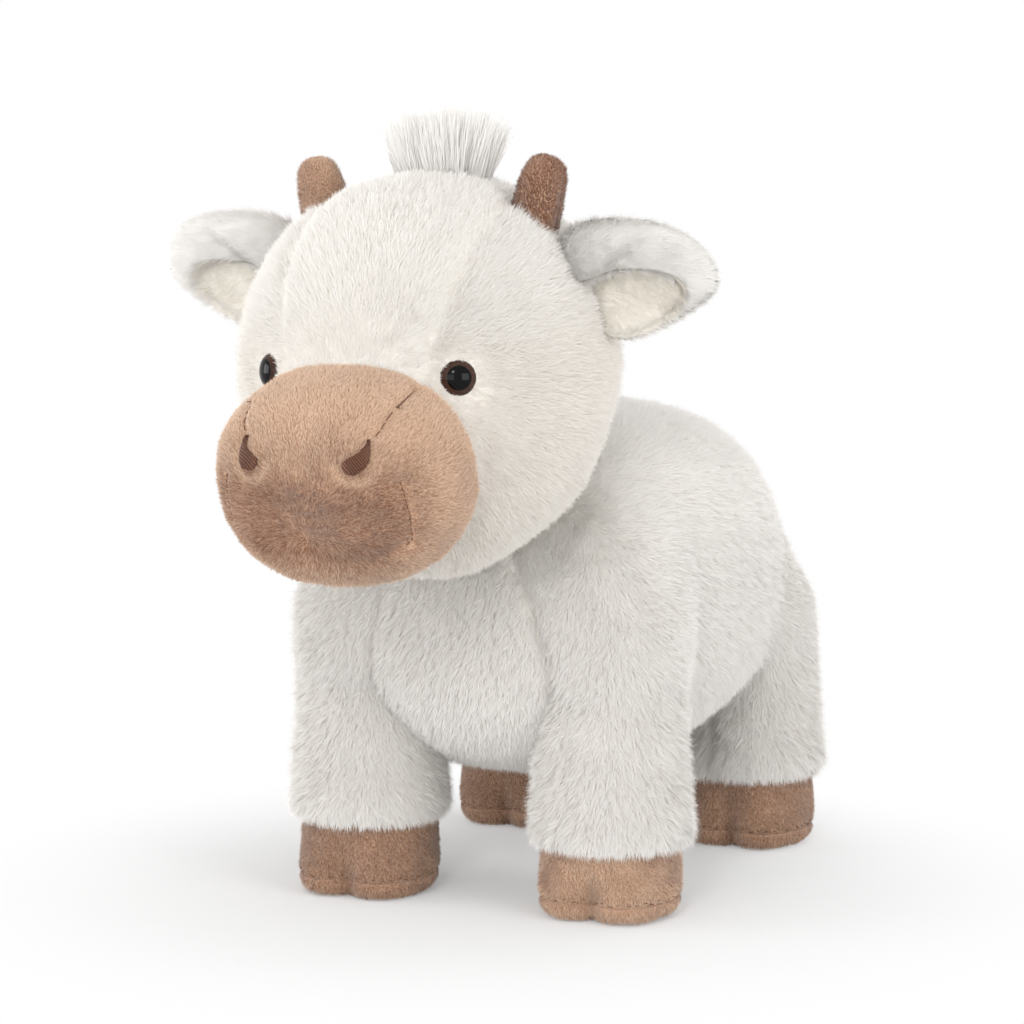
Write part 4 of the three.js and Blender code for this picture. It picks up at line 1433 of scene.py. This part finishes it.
def satin_lines(tree, ring):
    """Threads laid side by side over a ring, slightly slanted."""
    slant = np.array([math.cos(0.45), math.sin(0.45)])
    if ring[:, 0].mean() < 0:
        slant[0] = -slant[0]
    across = np.array([-slant[1], slant[0]])
    heights = ring @ across
    lines = []
    for level in np.arange(heights.min() + 0.3, heights.max() - 0.1, 0.46):
        cuts = []
        for a, b in zip(ring, np.roll(ring, -1, axis=0)):
            low, high = a @ across - level, b @ across - level
            if low * high < 0:
                cuts.append(a + (b - a) * low / (low - high))
        if len(cuts) < 2:
            continue
        cuts.sort(key=lambda p: p @ slant)
        a, b = cuts[0], cuts[-1]
        line = []
        for share in np.linspace(0, 1, 6):
            proud = 0.5 + 1.6 * math.sin(math.pi * min(max(share, 0.04), 0.96)) ** 0.4
            line.append(on_muzzle(tree, *(a + (b - a) * share), proud))
        lines.append(line)
    return lines


class PLUSH_OT_eyes(bpy.types.Operator):
    """Sets the domed eyes in the head"""

    bl_idname = "plush.eyes"
    bl_label = "Eyes"

    def execute(self, context):
        shop.ready(context)
        profile = [(0, -8), (2, -8), (2, 0), (EYE_RADIUS - 0.3, 0), (EYE_RADIUS, 0.5)]
        profile.append((EYE_RADIUS, 1.0))
        for a in np.linspace(0.08, math.pi / 2, 22):
            profile.append((EYE_RADIUS * math.cos(a), 1.0 + EYE_DOME * math.sin(a)))
        profile[-1] = (0, profile[-1][1])
        for name, side in SIDES:
            seat, out = eye_frame(side)
            points, faces = turned_form([0, 0, 0], profile, 64)
            radius = np.hypot(points[:, 0], points[:, 1]) / EYE_RADIUS
            radius[points[:, 2] < 1] = 1
            turn = Vector((0, 0, 1)).rotation_difference(Vector(out)).to_matrix()
            eye = made("eye_dome_" + name, points @ np.array(turn).T + seat, faces, shop.eye)
            write_attribute(eye, "radius", radius)
            placed(eye, "head", ["eye_" + name])
            dyed(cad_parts["eye_washer_" + name], shop.plastic)
        return {"FINISHED"}


HORN_PROFILE = [
    (0, -9), (7, -9), (9.4, -7), (9.4, 0), (9.1, 6), (8.7, 11), (8.0, 16), (6.6, 19.6), (3.8, 21.7),
    (0, 22.3),
]


def horn_form(side):
    """A horn that leans outwards, with a seam up its outer edge."""
    lean = math.radians(HORN_LEAN * side)

    def shaped(points):
        angle = np.arctan2(points[:, 1] * side, points[:, 0] * side)
        radius = np.hypot(points[:, 0], points[:, 1])
        seam = bell(angle, 0.13) * 0.9 + bell(angle, 0.5) * 0.4
        points[:, :2] *= (1 - seam / np.maximum(radius, 2))[:, None]
        points[:, 1] *= 0.88
        points[:, 2] *= HORN_HEIGHTS[side]
        c, s = math.cos(lean), math.sin(lean)
        x, z = points[:, 0].copy(), points[:, 2].copy()
        points[:, 0], points[:, 2] = x * c + z * s, z * c - x * s
        return points

    return turned_form(horn_base(side), softened(HORN_PROFILE, 5), 72, shaped)


class PLUSH_OT_horns(bpy.types.Operator):
    """Sews the horns, each with a seam up its outer edge"""

    bl_idname = "plush.horns"
    bl_label = "Horns"

    def execute(self, context):
        shop.ready(context)
        for number, (name, side) in enumerate(SIDES):
            points, faces = horn_form(side)
            skin = made("horn_skin_" + name, points, faces, shop.tan_skin)
            lay = Pile(skin, [0.1, 0, 1.0])
            base = horn_base(side)[2]
            top = stepped(points[:, 2], base + 8, base + 22)
            # Painted light: each horn's pile lightens towards its top, and the left horn's pile is
            # darker all over than the right's.
            lay.shade = (1.15 - 0.35 * top) if side > 0 else (0.35 - 0.15 * top)
            lay.cover[depth_in(tree_of(skin_of("head")), lay.points) > 1] = 0
            values = shop.short_pile("horn", number, Length=0.0015, Lift=0.95)
            lay.grow("horn_pile_" + name, "head", TAN, values)
            placed(skin, "head", ["horn_cover_" + name, "horn_filling_" + name])
        return {"FINISHED"}


# The ear in its own places, as (out, ahead, up): its leaf's middle and halves, and its lined hollow
EAR_SHARE = 2.2
EAR_X, EAR_Z = 22.5, -4.5
EAR_HALF_LENGTH, EAR_HALF_TOP, EAR_HALF_LOW = 31.5, 22.5, 22
HOLLOW_X, HOLLOW_Z = 20, -13
HOLLOW_COS, HOLLOW_SIN = math.cos(math.radians(16)), math.sin(math.radians(16))
# A point on the line beyond which the back rolls over ahead, and the line's slope
ROLL_X, ROLL_Z, ROLL_COS, ROLL_SIN = 0.6, -11.8, 0.735, 0.678
# How far the ear reaches ahead of its leaf at its rim, what its roll adds to that, how far it
# reaches in its hollow, and how far behind the leaf
RIM_THICK, ROLL_THICK, HOLLOW_THICK, BACK_THICK = 9.5, 5.0, 1.8, 4.5


def ear_points(local, side):
    """Ear places, out along the ear, behind it and up its root seam, in the layout."""

    def about(axis, degrees):
        return np.array(Matrix.Rotation(math.radians(degrees), 3, axis))

    turned = local @ (about("Y", 33) @ about("Y", -30) @ about("X", 25)).T
    placed_at = turned + [57.5, HEAD_CENTRE[1] + 4, HEAD_CENTRE[2] + 45]
    return placed_at * [side, 1, 1]


def ear_low(out):
    """How far the ear reaches down from its middle, which is less towards its tip."""
    return EAR_HALF_LOW * (1 - 0.42 * stepped(out, -0.2, 1.0))


def ear_hollow(x, z):
    """How far a place on the ear lies into its lined hollow, from 0 to 1."""
    right, up = x - HOLLOW_X, z - HOLLOW_Z
    along, across = right * HOLLOW_COS + up * HOLLOW_SIN, up * HOLLOW_COS - right * HOLLOW_SIN
    return 1 - stepped(np.hypot(along / 25, across / 12.5), 0.78, 1.1)


def ear_middle(z):
    """How far ahead the ear's leaf bows at a height."""
    return 1 - z * z / np.where(z > 0, 160, 70)


def ear_front(x, z, full):
    """The ear's front, ahead of its leaf: a roll over its top, a soft rim, and the hollow."""
    beyond = (z - ROLL_Z) * ROLL_COS - (x - ROLL_X) * ROLL_SIN
    thick = RIM_THICK + ROLL_THICK * stepped(beyond, -3.5, 4)
    hollow = ear_hollow(x, z)
    return ear_middle(z) - full * (thick * (1 - hollow) + HOLLOW_THICK * hollow)


def ear_form(unit):
    """The stuffed ear's skin from a ball, in the ear's own places."""
    along, ahead, up = unit.T
    x = EAR_X + EAR_HALF_LENGTH * along
    z = np.where(up > 0, up * EAR_HALF_TOP, up * ear_low(along)) + EAR_Z
    y = np.where(ahead < 0, ear_front(x, z, -ahead), ear_middle(z) + ahead * BACK_THICK)
    return np.stack([x, y, z], -1)


def lining_form(unit):
    """The lining's thin leaf from a ball, laid in the ear's hollow."""
    along, across = unit[:, 0] * 25.5, unit[:, 2] * 12.8
    x = HOLLOW_X + along * HOLLOW_COS - across * HOLLOW_SIN
    z = across * HOLLOW_COS + along * HOLLOW_SIN + HOLLOW_Z
    out = (x - EAR_X) / EAR_HALF_LENGTH
    up = np.where(z > EAR_Z, (z - EAR_Z) / EAR_HALF_TOP, (z - EAR_Z) / ear_low(out))
    full = np.clip(1 - np.abs(out) ** EAR_SHARE - np.abs(up) ** EAR_SHARE, 0, 1) ** (1 / EAR_SHARE)
    return np.stack([x, ear_front(x, z, full) + unit[:, 1] * 1.2 - 0.4, z], -1)


class PLUSH_OT_ears(bpy.types.Operator):
    """Sews the ears: a pile back rolled over ahead, and a short lining"""

    bl_idname = "plush.ears"
    bl_label = "Ears"

    def execute(self, context):
        shop.ready(context)
        head = tree_of(skin_of("head"))
        for number, (name, side) in enumerate(SIDES):
            body = "ear_" + name
            local, faces = plump_form(0, 1, EAR_SHARE, 80, 120, ear_form)
            back = made("ear_fur_back_" + name, ear_points(local, side), faces, shop.white_skin)
            points, faces = plump_form(0, 1, 2, 40, 72, lining_form)
            points = ear_points(points, side)
            lining = made("ear_skin_lining_" + name, points, faces, shop.lining_skin)
            out = np.array([side * 0.9, -0.2, -0.3])
            from_middle = directions(corners(back)[0] - ear_points(np.array([[20.0, 0, -8]]), side))
            over = stepped(local[:, 2], 6, 15)
            sunk = ear_hollow(local[:, 0], local[:, 2]) * (local[:, 1] < ear_middle(local[:, 2]))
            leaf = np.diff(ear_points(np.array([[0.0, 0, 0], [0, 1, 0]]), side), axis=0)[0]
            facing = corners(back)[1] @ leaf
            behind = stepped(facing, -0.1, 0.35)
            away = (0.7 - 1.3 * stepped(sunk, 0.1, 0.5) - 1.0 * behind)[:, None]
            lay = Pile(back, from_middle * away + out * 0.8 + over[:, None] * np.array([0, 0.2, 0]))
            lay.cover *= 1 - (sunk > 0.72)
            lay.stand *= 1 + 0.9 * stepped(1 - np.abs(facing), 0.35, 0.85) * (1 - behind)
            lay.stand *= 1 - 0.3 * behind
            lay.length *= 1 - 0.25 * behind
            lay.cover[depth_in(head, lay.points) > 2] = 0
            fine = {"Length": 0.0041, "Lift": 0.5, "Stray": 0.28, "Material": shop.fine_fur}
            lay.grow("ear_pile_" + name, body, WHITE, shop.long_pile("ear", number, **fine))
            inner = Pile(lining, out)
            inner.cover[depth_in(head, inner.points) > 1] = 0
            nap = {"Length": 0.0026, "Lift": 0.42, "Density": 3.0e6, "Material": shop.lining_fur}
            values = shop.short_pile("lining", number, **nap)
            inner.grow("ear_lining_pile_" + name, body, CREAM, values)
            placed(back, body, ["ear_back_" + name])
            placed(lining, body, ["ear_lining_" + name])
        return {"FINISHED"}


class PLUSH_OT_forelock(bpy.types.Operator):
    """Plants the forelock's long fur on the crown"""

    bl_idname = "plush.forelock"
    bl_label = "Forelock"

    def execute(self, context):
        shop.ready(context)
        centre = np.array([0, HEAD_CENTRE[1] + 12, HEAD_CENTRE[2] + HEAD_HALVES[2] - 5.5])
        halves = np.array([17.5, 7.5, 11])
        bed = made("forelock_bed", *plump_form(centre, halves, 2.2, 24, 40), shop.white_skin)
        lay = Pile(bed, [1.0, 0, 0])
        points = lay.points
        fan = (points - centre) / halves
        lay.comb = np.stack([fan[:, 0] * 0.3, fan[:, 1] * 0.35, np.ones(len(points))], -1)
        lay.cover = (points[:, 2] > centre[2] - 1).astype(float)
        uneven = np.random.default_rng(shop.pile.seed).uniform(0.7, 1.1, len(points))
        rise = np.clip(points[:, 2] - centre[2], 0, None) / FORELOCK_LENGTH
        lay.length = uneven * (1 - rise - 0.16 * np.abs(fan[:, 0]) ** 2)
        sideways = np.random.default_rng(shop.pile.seed + 1).uniform(-0.35, 0.35, len(points))
        lay.face[:, 0] = 3 * sideways
        lay.face[:, 1] = -3
        values = shop.long_pile("forelock", **{
            "Density": 5.0e6, "Length": FORELOCK_LENGTH * MM, "Width": 0.0004, "Lift": 0.0,
            "Stray": 0.14, "Tuft": 0.2, "Tuft Size": 0.005, "Wave": 0.4, "Wave Size": 0.006,
            "Material": shop.fine_fur,
        })
        lay.grow("forelock_fur", "head", WHITE, values, bends=FORELOCK_BENDS, nodes=["forelock"])
        placed(bed, "head")
        return {"FINISHED"}


def tail_tube():
    """The tail's tube, that bows out behind and hangs."""
    heights = np.linspace(0, 1, 30)
    spine = [
        TAIL_PIVOT + [0, 10.5 * math.sin(min(s * 4, 1) * math.pi / 2) + 2, -62 * s - 3]
        for s in heights
    ]
    turn = np.linspace(0, 2 * np.pi, 24, endpoint=False)
    rows = []
    for place, s in zip(spine, heights):
        radius = TAIL_RADIUS * (1 - 0.12 * s)
        rows += [place + [radius * math.cos(a), radius * math.sin(a), 0] for a in turn]
    points = np.vstack([[spine[0] + [0, 0, 1.5]], rows, [spine[-1] - [0, 0, 2]]])
    return points, rows_closed(len(spine), len(turn))


class PLUSH_OT_tail(bpy.types.Operator):
    """Sews the tail's root and tube, and sets its brush of fur"""

    bl_idname = "plush.tail"
    bl_label = "Tail"

    def execute(self, context):
        shop.ready(context)
        ball = plump_form(TAIL_PIVOT, TAIL_ROOT_RADIUS, 2, 16, 24)
        root = made("tail_root_cover", *ball, shop.white_skin)
        lay = Pile(root, [0, 0.2, -1.0])
        lay.cover = (lay.points[:, 1] > TAIL_PIVOT[1] - 1).astype(float)
        lay.grow("tail_root_pile", "tail_base", WHITE, shop.long_pile("tail", Length=0.005))
        placed(root, "tail_base", ["tail_root"])
        tube = made("tail_cover", *tail_tube(), shop.white_skin)
        core = plump_form(TAIL_PIVOT + [0, 12.5, -76], [8.5, 8.5, 16], 2, 20, 24)
        brush = made("tail_brush_core", *core, shop.white_skin)
        for number, obj, name, node, length in (
            (1, tube, "tail_pile", "tail_tube", 0.0062),
            (2, brush, "tail_brush_fur", "tail_brush", 0.014),
        ):
            lay = Pile(obj, [0, 0, -1.0])
            if obj is brush:
                low, high = 66 - TAIL_PIVOT[2], 90 - TAIL_PIVOT[2]
                lay.length *= 0.75 + 0.5 * stepped(-lay.points[:, 2], low, high)
            values = shop.long_pile("tail", number, Length=length, Lift=0.5)
            lay.grow(name, "tail", WHITE, values)
            placed(obj, "tail", [node])
        return {"FINISHED"}


class PLUSH_OT_neck(bpy.types.Operator):
    """Makes the plug of filling that the head turns on"""

    bl_idname = "plush.neck"
    bl_label = "Neck"

    def execute(self, context):
        shop.ready(context)
        ball = plump_form(NECK_CENTRE, NECK_RADIUS, 2, 24, 32)
        rows = [(0, -5), (14.5, -5), (14.5, 20), (14.5, 42), (13.5, 43.5), (0, 43.5)]
        points, faces = turned_form([0, 0, 0], rows, 32)
        stub = (turned_x(points, NECK_TILT) + NECK_CENTRE, faces)
        plug = fused("neck_plug", [ball, stub], voxel=2.5, rounding=3)
        dyed(plug, shop.lining_skin)
        placed(plug, "neck", ["neck_filling"])
        return {"FINISHED"}


# Each lamp's place and size in metres, and its share of the lamps' strength
LAMPS = {
    "key": ((0.5, -1.75, 1.1), 0.32, 0.22),
    "fill": ((0.1, -2.2, 0.08), 1.5, 0.64),
    "left": ((2.0, -0.9, 0.3), 1.2, 0.7),
    "right": ((-2.0, -0.9, 0.3), 1.2, 0.95),
    "rim": ((0.8, 1.5, 1.1), 1.2, 0.15),
}
LAMP_TARGET = Vector((0, 0, 0.15))
CAMERA_LENS, CAMERA_SENSOR = 126.56, 36
CAMERA_AZIMUTH, CAMERA_ELEVATION = math.radians(24.4), math.radians(6.8)
CAMERA_AIM, CAMERA_DISTANCE = np.array([-24.1, 0, 144.2]), 1476
FLOOR_HALF = 4


class PLUSH_OT_stage(bpy.types.Operator):
    """Sets the floor, the lamps and the camera"""

    bl_idname = "plush.stage"
    bl_label = "Stage"

    def execute(self, context):
        shop.ready(context)
        settings = plush(context)
        mesh = bpy.data.meshes.new("studio_floor")
        square = ((-1, -1), (1, -1), (1, 1), (-1, 1))
        points = [(x * FLOOR_HALF, y * FLOOR_HALF, 0) for x, y in square]
        mesh.from_pydata(points, [], [(0, 1, 2, 3)])
        floor = linked("studio_floor", mesh)
        dyed(floor, floor_finish((0.88, 0.88, 0.88, 1), (1, 1, 1, 1)))
        world = bpy.data.worlds.new("studio")
        context.scene.world = world
        world.use_nodes = True
        sky = Graph(world.node_tree)
        sky.tree.nodes.clear()
        out = sky.tree.nodes.new("ShaderNodeOutputWorld")
        strength = seen_straight(sky) * (1 - settings.sky_strength) + settings.sky_strength
        light = {"Color": (1, 1, 1, 1), "Strength": strength}
        sky.feed(out.inputs[0], sky.node("ShaderNodeBackground", None, light))
        for name, (place, size, share) in LAMPS.items():
            data = bpy.data.lights.new(name, "AREA")
            data.shape = "SQUARE"
            data.size = size
            data.energy = settings.key_strength * share
            lamp = linked(name, data)
            lamp.location = place
            lamp.rotation_euler = (LAMP_TARGET - Vector(place)).to_track_quat("-Z", "Y").to_euler()
        data = bpy.data.cameras.new("camera")
        data.lens = CAMERA_LENS
        data.sensor_width = CAMERA_SENSOR
        camera = linked("camera", data)
        level, up = math.cos(CAMERA_ELEVATION), math.sin(CAMERA_ELEVATION)
        back = np.array([math.sin(CAMERA_AZIMUTH) * level, -math.cos(CAMERA_AZIMUTH) * level, up])
        camera.location = frame_points(CAMERA_AIM + back * CAMERA_DISTANCE)
        camera.rotation_euler = Vector(-back).to_track_quat("-Z", "Y").to_euler()
        context.scene.camera = camera
        context.scene.view_settings.view_transform = "Standard"
        return {"FINISHED"}


OPERATORS = (
    PLUSH_OT_stage, PLUSH_OT_torso, PLUSH_OT_legs, PLUSH_OT_hooves, PLUSH_OT_head, PLUSH_OT_muzzle,
    PLUSH_OT_nostrils, PLUSH_OT_eyes, PLUSH_OT_horns, PLUSH_OT_ears, PLUSH_OT_forelock,
    PLUSH_OT_tail, PLUSH_OT_neck,
)


class PLUSH_PT_panel(bpy.types.Panel):
    """Lists the cow's pieces and settings"""

    bl_idname = "PLUSH_PT_panel"
    bl_label = "Plush cow"
    bl_space_type = "VIEW_3D"
    bl_region_type = "UI"
    bl_category = "Plush cow"

    def draw(self, context):
        settings = plush(context)
        for group in (settings.pile, settings.colours, settings):
            for name in group.__annotations__:
                if name not in ("pile", "colours"):
                    self.layout.prop(group, name)
        for operator in OPERATORS:
            self.layout.operator(operator.bl_idname)


CLASSES = (PlushPile, PlushColours, PlushCow, *OPERATORS, PLUSH_PT_panel)


def register():
    for kind in CLASSES:
        bpy.utils.register_class(kind)
    bpy.types.Scene.plush_cow = PointerProperty(type=PlushCow)


def unregister():
    del bpy.types.Scene.plush_cow
    for kind in reversed(CLASSES):
        bpy.utils.unregister_class(kind)


def main():
    register()
    for operator in OPERATORS:
        group, name = operator.bl_idname.split(".")
        getattr(getattr(bpy.ops, group), name)()
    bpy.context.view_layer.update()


if __name__ == "__main__":
    main()
